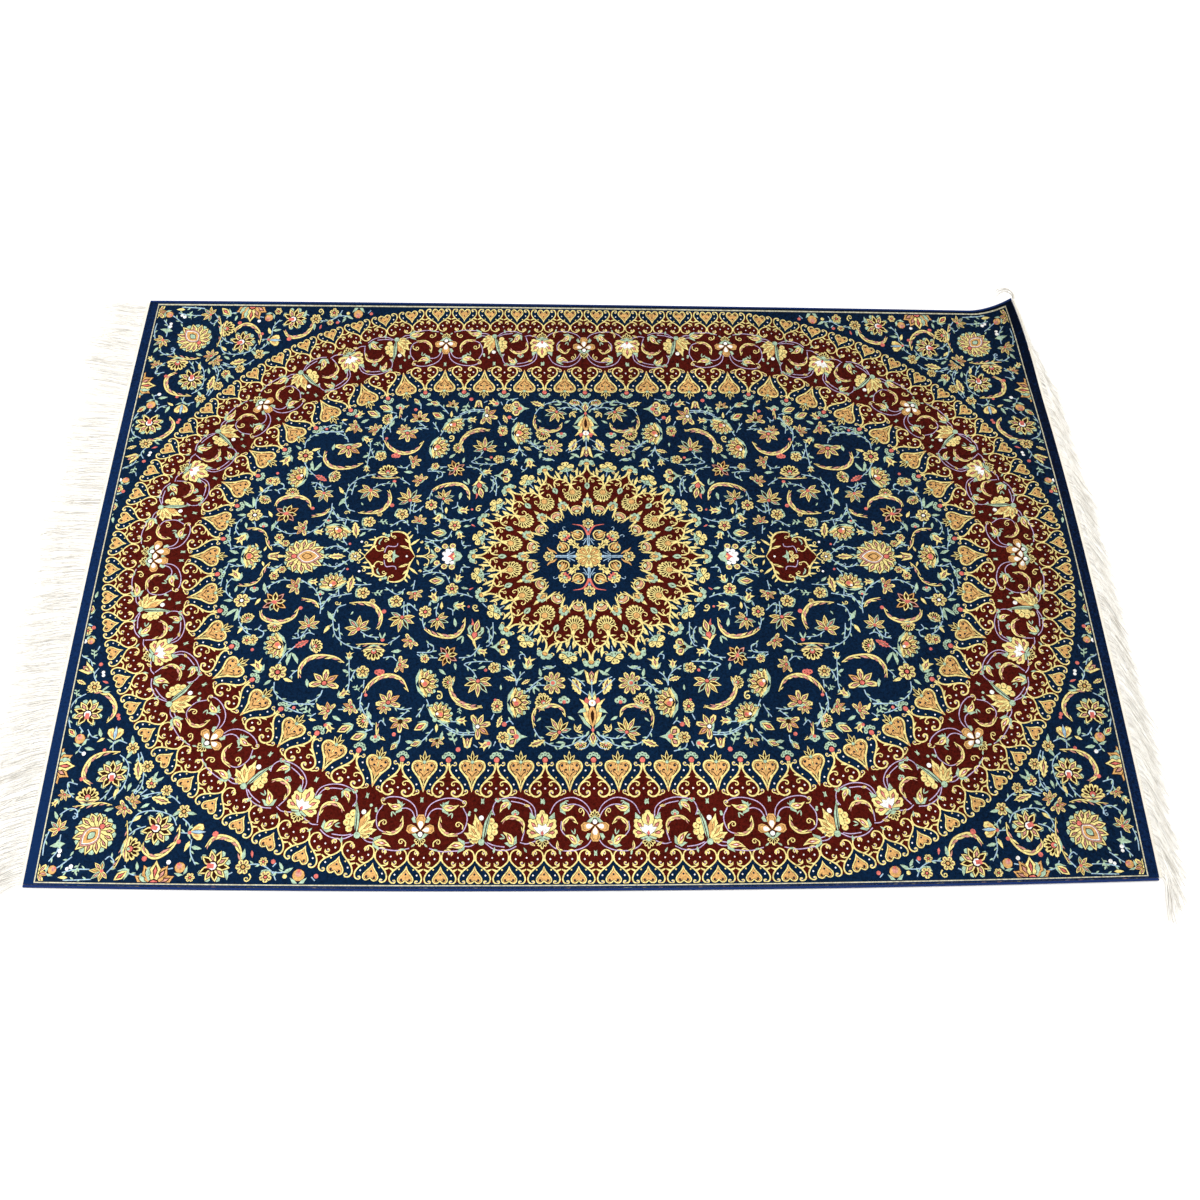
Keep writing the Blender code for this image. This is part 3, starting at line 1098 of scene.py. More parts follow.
def grow(text):
    # vines, with small leaves along the longer ones
    for line in text.split("/"):
        path = smooth([onRug(*point) for point in plot(line)], 4)
        paint("sky", ribbon(path, 1.5))
        steps = np.linalg.norm(np.diff(path, axis=0), axis=1)
        gone = np.concatenate([[0], np.cumsum(steps)])
        for n, at in enumerate(np.arange(6.0, gone[-1] - 4, 8.5)):
            x, y = (np.interp(at, gone, path[:, i]) for i in (0, 1))
            i = min(int(np.searchsorted(gone, at)), len(path) - 1)
            heading = math.degrees(math.atan2(*(path[i] - path[i - 1])[::-1]))
            side = 1 if n % 2 else -1
            draw(spot(x, y, heading + side * 38), "sharp mint 7.4 2.3")


def crescents(text):
    for row in text.split("/"):
        width, *points = row.split()
        line = [onRug(*point) for point in plot(points)]
        reach = sum(math.dist(a, b) for a, b in zip(line, line[1:]))
        serrated(line, float(width), max(3, round(reach / 9)))


grow("""
207,40 215,25 233,21 250,25 / 137,173 160,173 175,175 180,178 / 180,178 167,188 160,200 / 138,108 137,130
142,145 147,148 / 148,115 143,123 143,142 / 157,145 163,157 172,165 188,167 / 220,167 242,166 252,161 /
252,158 230,157 228,147 236,144 235,150 / 101,212 103,198 110,188 122,180 / 101,210 96,197 89,190 / 170,65
183,60 200,58 222,65 / 57,197 72,207 87,223 / 58,212 72,212 85,222 / 20,198 8,204 0,213 / 242,120 246,108
246,100 / 222,67 235,72 238,80 / 223,75 226,88 225,98 / 200,96 201,87 209,83 / 228,55 230,50 237,54 / 148,82
155,75 / 176,12 188,12 191,22 / 234,234 230,243 228,252 / 88,166 91,161 97,163 96,169 / 43,180 52,185 62,182
""")
crescents("""
7 181,100 183,117 193,130 210,133 230,128 243,119 / 7 193,198 200,213 193,233 175,245 150,247 / 4 78,181
82,184 89,184
""")
plant("""
bud 228 36 0 25, sprout 194 32 -110 17, flower 203 51 -90 22, sprout 230 65 -60 20, leaf 218 79 -90 13 gold,
sprout 190 80 180 20, berry 176 81 0 4, curl 165 84 -60 13, leaf 196 108 -80 15, wideFan 219 109 125 33,
rosette 243 90 90 21 coral, tallLily 165 127 -102 50, berry 169 111 0 4, leafFlower 127 149 180 30 brown,
sprout 153 157 165 17, starLily 206 162 -60 34, flower 240 168 110 15, pair 186 136 60 12, leaf 193 181 100
12, leaf 212 190 140 14, sprout 83 175 -100 22, sprout 109 177 -85 16, flower 134 183 0 19 apricot, berry
147 187 0 5, leaf 153 183 20 12, daisy 45 208 180 36, feather 14 214 110 25, leaf 6 191 -140 14, feather 111
201 -15 19, feather 87 206 -150 15, leaf 66 191 -80 14, wideFan 158 215 90 42, scallop 203 207 0 24,
palmette 234 207 -168 48, palmette 97 239 180 49, rosette 63 232 0 17, trefoil 31 235 -90 17, flower 128 242
-90 16, berry 132 235 0 4, curl 215 227 100 14, leaf 124 215 -90 9, pair 73 219 120 11, leaf 173 50 -150 8
coral, leaf 183 49 170 12
""")
grow("""
372,13 379,25 379,45 377,62 / 330,42 345,43 357,42 / 358,58 378,62 392,67 401,82 / 380,59 390,63 401,82 /
262,35 264,51 / 277,50 288,60 307,48 / 255,88 271,75 270,96 / 277,72 276,98 / 365,77 377,83 382,100 381,113
377,128 367,140 353,148 337,152 / 373,110 371,124 368,136 / 340,123 328,131 312,133 / 282,172 290,165
303,167 / 280,130 288,137 297,143 / 353,168 352,183 350,208 352,222 / 329,203 329,216 / 338,182 344,190
348,203 / 330,223 332,237 331,252 / 433,147 447,162 455,177 / 418,117 427,132 439,135 / 407,128 416,125
426,132 / 430,132 432,126 436,127 / 402,93 403,75 413,52 430,38 440,33 / 452,35 467,35 487,47 / 490,47
484,56 481,65 / 423,185 430,190 436,199 / 457,206 455,222 440,236 420,241 397,242 / 387,219 391,230 405,239
/ 487,112 490,119 482,124 484,132 491,133 / 286,244 270,250 255,248
""")
crescents("""
7 360,75 342,74 325,77 313,90 310,104 314,120 / 4.5 297,145 320,144 345,145 / 7 262,222 272,203 288,195
305,197 320,208 329,224 / 7 360,175 374,166 397,163 413,168 423,182 423,200 / 5.5 405,83 413,72 432,66 / 7
435,83 440,98 455,107 473,107 487,100 492,88
""")
plant("""
palmette 389 37 -75 44 coral, feather 361 41 -98 31, leaf 350 33 -40 13, berry 368 15 0 4, flower 342 57 180
22 brown, sprig 320 57 180 18, flower 290 72 -160 23 brown, fan 260 62 100 26, wideFan 280 109 80 42, berry
307 89 0 7, rosette 326 72 0 9 brown, lily 346 112 -70 38, curl 377 75 0 9, leaf 387 96 -60 18, leaf 390 119
60 16 gold, berry 306 137 0 6, pair 307 130 -90 11, scallop 318 158 90 36, fan 266 142 45 28, leaf 284 156 5
16, fan 273 179 165 28, sprout 353 163 -90 14, leaf 356 189 150 12, flower 332 190 -90 21 brown, trefoil 307
191 90 15 coral, fan 290 233 -95 38, berry 325 227 0 5, sprig 338 217 -50 14, fan 385 201 -95 44, leaf 410
208 100 14, rosette 454 190 90 27 coral, leaf 467 207 40 13, leaf 438 203 160 15 gold, sprout 483 180 -60
24, scallop 403 147 200 27, feather 425 144 30 24 coral, palmette 463 147 15 46 ivory, berry 495 153 0 5,
lily 417 107 -90 32, berry 432 83 0 6, scallop 467 115 90 24, starLily 473 73 20 38, berry 474 72 0 5,
trefoil 405 57 -90 11 mint, fan 447 45 0 30, sprout 418 38 180 16, rosette 467 16 0 13, rosette 478 27 0 15,
leaf 480 16 -50 15, leaf 490 47 -80 16, leaf 497 72 60 14 gold, flower 497 137 -100 18 brown, pair 436 168
100 20, sprout 357 225 -140 18, leaf 280 57 -100 8, leaf 355 92 60 7
""")
@motif
def onion(place, core="sky"):
    # a round bulb of two husks about a leaf
    for side in (-1, 1):
        arm = within(place, side * 0.4, -3.4, 90 - side * 22)
        draw(arm, "round gold+.4 7.6 4.6")
        paint("apricot", sharpPetal(4.4, 1.6) + (side * 0.3, 1.6), arm)
    draw(place, """
        sharp core+.35 0,-3.6 8.6 1.9
        both mint 0,-5 2,-4.8 4.4,-2.8 2,-3.4
    """, core=core)


@motif
def cone(place, core="ivory"):
    # gold points on mint ones, with a coral and white tongue
    for i in range(8):
        draw(within(place, 0, 0, 90 + (i - 3.5) * 42), "dot mint 0,4.5 .95 6")
    for i in range(9):
        petal(within(place, 0, 0, 90 + (i - 4) * 37), 5.2, 2.3, "gold", "rose" if i % 2 else "brown")
    draw(place, """
        dot brown 0,-.4 1.8 8
        dot core 0,-.4 1.3
        coral -.8,-2.2 .8,-2.2 .7,0 -.7,0
    """, core=core)


@motif
def great(place, core="mint"):
    # an almond in rings, in a ruff of flame petals with mint tips between them
    arms = sorted(range(-6, 7), key=abs, reverse=True)
    for i in arms:
        dot("mint", 0, 5.1 - 0.3 * abs(i), 0.85, within(place, 0, -1.2, 90 + (i + 0.5) * 27), 6)
    for i in arms:
        arm = within(place, 0, -1.2, 90 + i * 27)
        reach = 6.3 - 0.42 * abs(i)
        edge = plot("0,0 .9,.42 .65,.52 .95,.7 .5,.86 0,1") * (1, reach)
        edged("gold", mirrored(edge, 1), arm, 0.2)
        paint("brown", slit(reach * 0.42, reach * 0.92, 0.85), arm)
        paint("rose", slit(reach * 0.5, reach * 0.84, 0.42), arm)
    for scale, yarn in table("1.12 brown, 1.06 rose, .94 brown, .89 ivory, .8 apricot, .46 brown, .36 core"):
        almond = mirrored(plot("0,-2.4 1.6,-.9 1.9,.7 1.1,2.3 0,3.4")) * scale
        paint(core if yarn == "core" else yarn, almond + (0, 0.2), place)
    draw(place, """
        dot brown 0,-2.7 .85
        dot coral 0,-2.7 .65 6
    """)


@motif
def borderPalmette(place, core="coral"):
    # half a palmette that opens from the guard line
    for turn in (-96, 96, -62, 62, -30, 30, 0):
        arm = within(place, 0, 0, 90 + turn)
        reach = 5.2 - abs(turn) * 0.012
        paint("mint", roundPetal(reach * 0.82, 2.4), within(arm, 0, 0, 90 + 14))
        edge = plot("0,0 1,.4 .7,.5 1.1,.66 .4,.84 0,1") * (1, reach)
        paint("brown", grown(mirrored(edge, 1), 0.15), arm)
        paint("apricot" if turn % 60 else "gold", mirrored(edge, 1), arm)
        paint("brown", slit(reach * 0.24, reach * 0.86, 1.1), arm)
        paint("rose" if turn % 60 else "coral", slit(reach * 0.34, reach * 0.76, 0.6), arm)
    dot("brown", 0, 0.2, 1.3, place, 8)
    dot(core, 0, 0.2, 1.0, place, 7)


@motif
def fruit(place, core="coral"):
    draw(place, """
        dot apricot+.4 0,.6 3.3 10
        dot rose 0,1.6 1.9 7
        dot core 0,3 .9
        both mint 0,-4.6 3,-4 4.6,-.6 2,-2
    """, core=core)


grow("""
555,31 556,45 / 535,67 545,57 547,42 540,31 / 517,47 520,58 / 500,66 510,68 / 521,82 522,93 521,105 /
500,119 510,118 518,112 / 500,129 510,122 520,107 / 549,4 552,15 556,22 / 222,280 231,292 241,302 / 237,242
242,253 248,262 / 187,269 211,269 / 161,285 176,286 190,283 211,271 / 161,289 185,288 203,279 / 130,299
133,306 / 104,314 120,309 124,300 / 105,273 110,268 116,271 / 133,257 137,266 / 156,308 162,304 / 75,280
68,292 56,302 40,307 20,304 0,290 / 0,290 14,294 28,294 38,286 / 260,252 272,262 / 319,240 321,257 311,276 /
331,243 323,260 311,277 / 311,280 322,284 / 270,290 271,300 275,304 / 396,241 415,241 434,242 / 411,256
422,253 434,247 / 393,256 400,262 396,268 / 292,275 299,267 303,271 / 345,250 362,250
""")
crescents("""
5 497,28 503,38 516,44 531,44 / 6 30,262 33,250 46,243 60,245 68,250 / 5 60,252 70,247 77,260 75,279 / 4
16,273 15,282 5,287 / 5 151,245 168,249 190,241 / 5 291,297 303,290 306,270
""")
plant("""
sprout 535 25 -50 24, trefoil 505 51 90 13, leaf 532 50 -100 12, rosette 521 70 0 24 ivory, leaf 541 70 0
14, pair 530 93 60 20, scallop 509 100 -60 23, leaf 517 121 60 13 gold, flower 505 137 100 16, leaf 511 12
60 10 gold, wideFan 43 277 -60 39, leaf 21 264 150 12, leaf 68 266 40 9, feather 71 302 20 25, pair 36 304
20 13, scallop 8 305 100 20, leafFlower 101 292 0 33, rosette 120 293 0 18 brown, feather 125 269 -110 19,
berry 118 273 0 7, flower 129 246 -90 19, fan 151 275 195 39 ivory, sprig 184 251 80 12, sprout 181 268 180
17, palmette 211 254 -125 42 coral, berry 220 266 0 7 mint, bud 240 276 30 24 coral, leaf 217 279 90 13
gold, sprig 192 295 -70 22, berry 184 311 0 7, fan 215 301 100 23 brown, leaf 209 290 -100 13, tulip 171 301
-90 17, sprout 145 304 30 19, berry 140 302 0 6, leaf 114 311 20 8, bud 246 302 20 18, fan 271 274 88 34
brown, berry 279 288 0 6, bud 278 306 50 15, fan 298 250 60 22, trefoil 306 295 90 15, scallop 326 268 20
25, leaf 318 258 -60 16, bud 350 279 25 25, bud 330 291 20 25, fan 347 248 30 26, fan 380 250 -30 28, leaf
390 246 -60 14 gold, leaf 363 264 150 15, sprout 373 278 120 17, berry 378 274 0 5, sprig 406 252 -40 20,
berry 425 247 0 5, leaf 397 266 170 11 gold, leaf 255 300 170 14, leaf 256 309 200 10
""")
# the corners
grow("""
743,52 745,65 744,78 / 739,97 745,104 742,111 735,113 / 746,151 741,163 728,170 723,180 / 718,147 720,154 /
712,206 718,194 713,183 / 724,225 737,234 743,250 742,264 737,278 / 711,280 704,290 694,293 / 651,301
662,297 670,300 669,312 / 706,295 712,296 / 724,276 717,284 / 658,318 647,327 642,342 647,368 663,384 /
661,363 666,375 674,384 / 710,361 724,358 721,371 712,380 / 630,314 623,330 620,361 627,375 / 633,316
629,330 / 624,362 630,376 / 612,368 620,376 / 564,389 576,379 594,373 618,378 / 604,378 616,382 / 564,420
573,406 597,399 618,403 626,418 628,431 / 605,421 617,425 626,433 / 545,431 557,430 / 701,408 704,398
715,396 727,404 / 737,425 741,443 740,460 / 720,432 720,444 721,455 730,468 / 698,462 711,473 717,477 /
647,484 639,472 646,462 652,466 / 670,479 690,479 708,483 / 541,439 540,458 531,474 / 625,474 618,484
606,488 / 560,478 570,480 / 423,496 430,483 446,474 463,474 / 408,483 419,485 429,484 / 429,477 425,472 /
666,493 690,494 705,494 / 557,410 548,418 545,425 / 716,305 718,312 712,315 / 481,484 492,490 / 377,491
372,497
""")
crescents("""
7 686,270 677,257 679,240 696,223 725,219 / 7 658,314 680,315 697,323 705,340 703,353 691,362 / 4.5 656,391
672,388 691,391 711,393 / 7 560,419 560,438 571,456 587,464 602,456 607,446 / 4.5 632,413 628,439 634,465
638,478 / 7 473,484 473,460 482,443 500,435 513,438 521,450
""")
plant("""
bud 741 86 -90 16, leaf 739 60 -100 12, flower 741 122 -100 15, fruit 733 137 100 15, berry 742 139 0 7
ivory, berry 733 116 0 6, sprig 724 160 -80 17, berry 711 177 0 6, tulip 730 185 -35 20, berry 705 190 0 5
ivory, berry 704 195 0 5 ivory, leaf 699 206 -20 10 coral, feather 735 206 -25 16, sprig 738 224 -80 15,
rosette 714 214 0 20 brown, pair 696 219 -160 12, cone 716 254 -90 43, berry 671 259 0 6, berry 669 264 0 5,
onion 670 287 -90 25, rosette 642 308 0 18 brown, leaf 644 296 -80 14, leaf 645 318 60 14, leaf 689 296 30
12 gold, leaf 692 285 -70 15, fruit 719 296 -70 20, bud 733 285 -45 17 coral, leaf 703 309 170 15, berry 710
316 0 6 ivory, borderPalmette 742 334 180 54, cone 664 346 -85 42, berry 706 353 0 6, berry 681 311 0 5,
leaf 654 373 70 15 gold, leaf 637 365 75 13, scallop 692 378 -90 37, leaf 659 397 -160 13, fan 727 378 60
19, sprout 737 387 50 13, rosette 617 335 0 18 apricot, feather 629 340 -80 30, flower 607 359 60 17, pair
601 352 -130 15, rosette 585 370 0 16 brown, feather 590 384 165 28, fan 627 383 -135 24 apricot, fan 641
398 45 26, leaf 611 392 30 13, rosette 557 400 0 19 brown, leaf 546 403 170 14, leaf 567 403 40 14, cone 588
425 160 43, leaf 619 410 40 14 gold, berry 558 442 0 6, berry 600 465 0 7, onion 535 429 180 25, berry 545
430 0 5, scallop 620 452 180 37, great 675 432 45 60, curl 705 406 90 9 sky, lily 727 420 -60 28, leaf 732
405 -60 13, leaf 722 446 10 21, berry 717 454 0 6 ivory, berry 717 460 0 5 ivory, leaf 699 458 60 8, fan 739
480 -135 30 gold, fruit 724 480 -150 16, bud 627 487 40 24 coral, leaf 608 475 -80 12, lily 659 483 20 28,
sprig 688 478 70 17, berry 697 475 0 6 ivory, berry 702 478 0 5 ivory, leaf 706 490 0 14 gold,
borderPalmette 583 491 -90 54, fruit 550 479 -60 19, rosette 536 491 0 13 coral, berry 567 470 0 6 ivory,
leaf 546 449 70 15 gold, leaf 533 451 170 15, berry 510 432 0 8, cone 505 476 175 43, rosette 468 477 0 20
apricot, leaf 469 460 -95 15, leaf 458 460 100 10 coral, berry 429 470 0 6, rosette 442 470 0 12 coral, leaf
408 482 -150 14, berry 412 490 0 6 gold, flower 437 490 90 18, curl 460 492 60 12, fruit 394 491 -90 22,
berry 371 490 0 6, leaf 418 476 -60 12, leaf 488 488 100 14
""")
# the middle lines: what stands on them is drawn whole, and the other half mirrors it


def onLength(text):
    # along the rug from its middle; the second number is the distance from the line
    for kind, x, aside, turn, size, *eye in table(text):
        motifs[kind](spot(onRug(x, 0)[0], aside, turn, size / 10), *eye)


def onWidth(text):
    for kind, aside, y, turn, size, *eye in table(text):
        motifs[kind](spot(aside, onRug(0, y)[1], turn, size / 10), *eye)


def pendant():
    # the red pendant on the length line: two lobes in a leafy gold frame
    near = smooth(plot("273,0 277,7 281.5,17 283.5,27 286,36 292,43 300.6,45.8 309,45.4 314,43"), 3)
    far = smooth(plot("316.4,31 318.6,34.6 326,36.6 333,34.4 337,29 338.6,21 343,13 348,6.5 352,0"), 3)
    paint("red", np.vstack([near, [(315.4, 38)], far, plot("352,-3 273,-3")]))
    barbs(None, """
        283 19 140 21 4.0, 285 31 125 12 3.4, 283 24 48 12 3.4, 288 39 128 10 2.8, 282 14 20 17 4.6,
        279 9 66 9 3, 270 6 110 11 3, 336 31 0 12 2.8, 339.5 22 -14 17 3.6, 345 11 8 9 3, 341 16 150
        8 2.6, 336 31 62 7 2.4
    """)
    paint("gold", ribbon(near, 3.2, -1))
    paint("gold", ribbon(far, 3.0, -1))
    draw(None, "line brown 1 286,16.5 296,15 299,12")
    draw(None, """
        curl gold 3.4 1.7 -1 10 .95 307.5,35 313.4,43.6 312.4,38
        curl gold 3.4 1.7 1 160 .95 320.4,28.6 318.4,34.6 316.4,31
        curl gold 3 1.7 1 -60 .95 325,13.6 338,20 334,11.4 329.6,9.6
        curl gold 3 1.7 -1 150 .95 256,16.4 271,.6 258,1.4 250.6,8
        curl gold 2.4 1.7 1 0 .95 263.4,27
        curl gold 3.6 1.7 1 -80 .95 351.6,25 341.6,19.8 348,20.4
        curl gold 2.6 1.7 1 -90 .95 360.4,11 351,1 355.6,5
        curl gold 2.6 1.7 -1 90 .95 359.6,-10.4
    """)
    draw(None, """
        line lavender 1.3 301.6,24 302.4,20 306,18 312.6,18.4 317,19 320,14 321.4,7
        mint 326,34 331,30 332.6,24 329.6,21 330.4,26 327.6,30
    """)
    for x, y, radius in table("317 38.6 2.8, 321.6 40 2.2, 313 47 2.0, 300 52 1.7"):
        dot("mint", x, y, radius)
    draw(None, "dot gold 325,42 2.4")
    for turn in (-90, 0, 90):
        arm = within(spot(312.4, 0, 0), 0, 0, 90 + turn)
        draw(arm, """
            round gold+.6 11 8.2
            slit brown 2.4 9.4 4.8
            slit apricot 3.2 8.6 3.4
        """)
    for side in (-1, 1):
        paint("mint", [(298, 0), (304.6, side * 4), (305.4, side * 12), (309, side * 6), (308, 0)])
    dot("ivory", 286, 0, 1.9)
    dot("ivory", 364.7, 0, 3.0)
    for y in (-9.5, 9.5):
        dot("mint", 370, y * 0.8, 3.2)


def cloudPalmette():
    def place(points):
        return np.asarray(points, dtype=float) + (11, 0)

    # a white cloud round a coral heart, on a mint leaf, in a ring of small gold buds
    for side in (-1, 1):
        leafy = plot("187,0 191,7 197.6,10 198.4,17.4 202,12 200,3 196,0") * (1, side)
        edged("mint", leafy, place, 0.4)
        for x, y in ((203, 19.4), (215.4, 18.6), (227, 12.4)):
            for yarn, radius in (("brown", 5.4), ("gold", 4.9), ("brown", 2.6), ("rose", 1.7)):
                dot(yarn, x, side * y, radius, place, 8)
        for x, y in ((209.6, 17), (221.6, 14), (230.6, 6)):
            dot("mint", x, side * y, 1.3, place, 5)
        for x, y, radius in ((203.4, 12, 3.6), (210.6, 10.6, 3.9), (215.6, 5, 3.8)):
            dot("ivory", x, side * y, radius, place, 8)
    draw(place, """
        dot ivory 208,0 8.6 10
        gold+.5 229,-2.6 234,-3.8 242,0 234,3.8 229,2.6
        brown 231,0 234.4,-1.4 237.6,0 234.4,1.4
        coral 199.6,0 200.4,-7 204.6,-5.4 206.4,-2.6 211,0 206.4,2.6 204.6,5.4 200.4,7
        dot gold 200.4,0 2.3 6
    """)


pendant()
cloudPalmette()
onLength("""
leaf 246 20 30 9, bud 237 0 0 18, leaf 237 9 60 11, flower 359 0 180 17 ivory, berry 350 27 0 4 ivory,
feather 386 0 180 27, great 434 0 180 64 apricot, tulip 483 0 180 18, palmette 515 0 180 34 coral, leaf 544
8 20 16, leaf 476 27 60 12 gold, pair 402 0 180 12, leaf 373 12 140 12, leaf 497 14 110 10 gold
""")
draw(None, "gold+.5 464,0 482,-3 482,3")
grow("224,6 236,16 250,20 / 372,2 382,10 396,10 405,4 / 468,6 478,14 490,12 / 525,8 536,10 548,6")
draw(None, "curl sky 3.6 1.1 1 180 .9 392,14 372,4 382,12")
crescents("5 486,3 494,14 499,27")

onWidth("""
tulip 0 199 -90 24, leaf 20 193 20 14, leaf 24 187 -40 12, feather 21 213 -75 28, leaf 62 182 -10 14, pair 0
226 -90 12, bud 0 296 -90 22, feather 20 279 60 13, leaf 8 288 60 10, scallop 73 236 -60 23
""")
stem = onRug(0, 232)[1]
stroke("sky", [(0, 208), (0, stem)], 1.3)
for points in (plot("0,236 14,226 24,216 34,206"), plot("4,292 12,302 22,300"), plot("3,300 10,310 20,312")):
    stroke("sky", points, 1.25, None, 4)
# the tall palmette below the medallion
tall = spot(0, onRug(0, 256)[1], -90)
draw(tall, """
    both mint+.6 2,-24 12,-16 20,-2 15,-5 7,-10
    both soft gold+.6 0,-20 9,-12 14,2 12,12 19,22 7,14 5,0
    both soft apricot 3,-14 10,-2 10.6,8 7.4,2
    both mint+.5 9,2 22,0 17,6 11,8
    both coral+.5 4,14 12,17 9,24 3,20
    both gold+.5 2,18 6,22 5,30 1,24
    curve apricot+.7 0,-22 5,-10 5.6,2 2.4,9 0,12
    half brown 0,-16 2.4,-8 2.6,0 0,5
    dot ivory+.7 0,15.5 5.2 10
    dot apricot 0,15.5 1.6
    half coral+.4 0,-29 2.4,-25 0,-20
""")
# the margin: a plain navy edge outside a thin grey guard line
gx, gy = design["guardAt"]
for inner, outer, yarn in ((-2.6, -0.8, "navy"), (-0.8, 0.8, "guard")):
    paint(yarn, [(gx + inner, 0), (gx + outer, 0), (gx + outer, gy + outer), (gx + inner, gy + inner)])
    paint(yarn, [(0, gy + inner), (gx + inner, gy + inner), (gx + outer, gy + outer), (0, gy + outer)])
gx, gy = gx + 0.8, gy + 0.8
paint("margin", [(gx, 0), (760, 0), (760, 500), (gx, gy)])
paint("margin", [(0, gy), (gx, gy), (760, 500), (0, 500)])
print("  with the field and corners:", len(shapes), "shapes in a quarter")


# The rug's shape: flat places u, v in metres are bowed at the edges, and the back right
# corner goes round a roll


def reachPastRoll(x, y):
    tip = (rug["halfLength"] - rug["backRightPull"], rug["halfWidth"])
    heading = (math.cos(rug["curlHeading"]), math.sin(rug["curlHeading"]))
    return (x - tip[0]) * heading[0] + (y - tip[1]) * heading[1] + rug["curlReach"]


def drape(u, v, height):
    u, v, height = np.broadcast_arrays(np.asarray(u, float), np.asarray(v, float), np.asarray(height, float))
    along, across = u / rug["halfLength"], v / rug["halfWidth"]
    endBow = np.where(u > 0, rug["bowRight"], -rug["bowLeft"])
    sideBow = np.where(v > 0, rug["bowBack"], -rug["bowFront"])
    x = u + endBow * along**2 * (1 - across**2)
    y = v + sideBow * across**2 * (1 - along**2)
    x = x - rug["backRightPull"] * np.maximum(0, along) ** 3 * np.maximum(0, across) ** 2
    reach = np.maximum(reachPastRoll(x, y), 0)
    radius = rug["curlReach"] / rug["curlTurn"]
    turn = reach / radius
    push = np.where(reach > 0, (radius - height) * np.sin(turn) - reach, 0)
    z = np.where(reach > 0, radius - (radius - height) * np.cos(turn), height)
    x, y = x + math.cos(rug["curlHeading"]) * push, y + math.sin(rug["curlHeading"]) * push
    return np.stack([x, y, z], axis=-1)


def linked(name, data, slot=None, node=None):
    # an object of this data; a piece of the rug, given a slot name, is also hung on the root body, and may
    # replace a node
    made = bpy.data.objects.new(name, data)
    bpy.context.scene.collection.objects.link(made)
    if slot:
        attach(made, "root")
    if node:
        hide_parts(node)
    return made


def meshFrom(bm, name, material):
    mesh = bpy.data.meshes.new(name)
    bm.to_mesh(mesh)
    bm.free()
    mesh.materials.append(material)
    return mesh


def bentGrid(bm, us, vs, place):
    # a grid with a row for each of us and a column for each of vs, moved to its place
    bmesh.ops.create_grid(bm, x_segments=len(us) - 1, y_segments=len(vs) - 1, size=1.0)
    for vert in bm.verts:
        u = us[round((vert.co.x + 1) / 2 * (len(us) - 1))]
        v = vs[round((vert.co.y + 1) / 2 * (len(vs) - 1))]
        vert.co = Vector(place(u, v).tolist())


# Materials: a Wire is a socket that takes part in sums, and a Finish makes the nodes


def sums(operation, swapped=False):
    # what a sum of two wires, or of a wire and a number, stands for
    return lambda one, other: one.maths(operation, *((other, one) if swapped else (one, other)))


class Wire:
    def __init__(self, finish, socket):
        self.finish, self.socket = finish, socket

    def maths(self, operation, *values):
        return self.finish.node("ShaderNodeMath", {"operation": operation}, dict(enumerate(values)))

    __add__ = __radd__ = sums("ADD")
    __sub__, __rsub__ = sums("SUBTRACT"), sums("SUBTRACT", True)
    __mul__ = __rmul__ = sums("MULTIPLY")
    __truediv__, __pow__ = sums("DIVIDE"), sums("POWER")
    __lt__, __gt__ = sums("LESS_THAN"), sums("GREATER_THAN")

    def __abs__(self):
        return self.maths("ABSOLUTE", self)

    def ribs(self, spacing):
        # rounded rows, one for each spacing
        return abs(self.maths("SINE", self * (math.pi / spacing)))

    def clamped(self):
        return self.finish.node("ShaderNodeClamp", {}, {0: self})


class Finish:
    def __init__(self, name, **constants):
        self.material = bpy.data.materials.new(name)
        self.material.use_nodes = True
        self.tree = self.material.node_tree
        self.shader = self.tree.nodes["Principled BSDF"]
        for socket, value in constants.items():
            self.shader.inputs[socket.replace("_", " ")].default_value = value

    def node(self, kind, settings=None, inputs=None, output=0):
        # settings first, then the values or links of its sockets
        made = self.tree.nodes.new(kind)
        for key, value in (settings or {}).items():
            setattr(made, key, value)
        for key, value in (inputs or {}).items():
            if isinstance(value, Wire):
                self.tree.links.new(value.socket, made.inputs[key])
            else:
                made.inputs[key].default_value = value
        return Wire(self, made.outputs[output])

    def place(self):
        return self.node("ShaderNodeTexCoord", output="Object")

    def split(self, vector):
        first = self.node("ShaderNodeSeparateXYZ", {}, {0: vector})
        return [Wire(self, socket) for socket in first.socket.node.outputs]

    def stretched(self, vector, scale):
        return self.node("ShaderNodeMapping", {}, {"Vector": vector, "Scale": scale})

    def noise(self, vector, scale, detail=3.0):
        return self.node("ShaderNodeTexNoise", {}, {"Vector": vector, "Scale": scale, "Detail": detail})

    def grain(self, vector, step):
        # one steady random number for each small cell
        snapped = self.node("ShaderNodeVectorMath", {"operation": "SNAP"}, {0: vector, 1: step})
        return self.node("ShaderNodeTexWhiteNoise", {"noise_dimensions": "3D"}, {"Vector": snapped}, "Value")

    def mixed(self, factor, first, second):
        return self.node("ShaderNodeMix", {"data_type": "RGBA"}, {0: factor, 6: first, 7: second}, 2)

    def feed(self, socket, wire):
        self.tree.links.new(wire.socket, self.shader.inputs[socket])

    def bump(self, height, depth, strength):
        inputs = {"Height": height, "Distance": depth, "Strength": strength}
        self.feed("Normal", self.node("ShaderNodeBump", {}, inputs))


def colourOf(code, light=1.0):
    # a screen colour as the shader wants it
    parts = [int(code[i : i + 2], 16) / 255 for i in (1, 3, 5)]
    linear = [part / 12.92 if part <= 0.04045 else ((part + 0.055) / 1.055) ** 2.4 for part in parts]
    return tuple(min(1.0, part * light) for part in linear) + (1.0,)


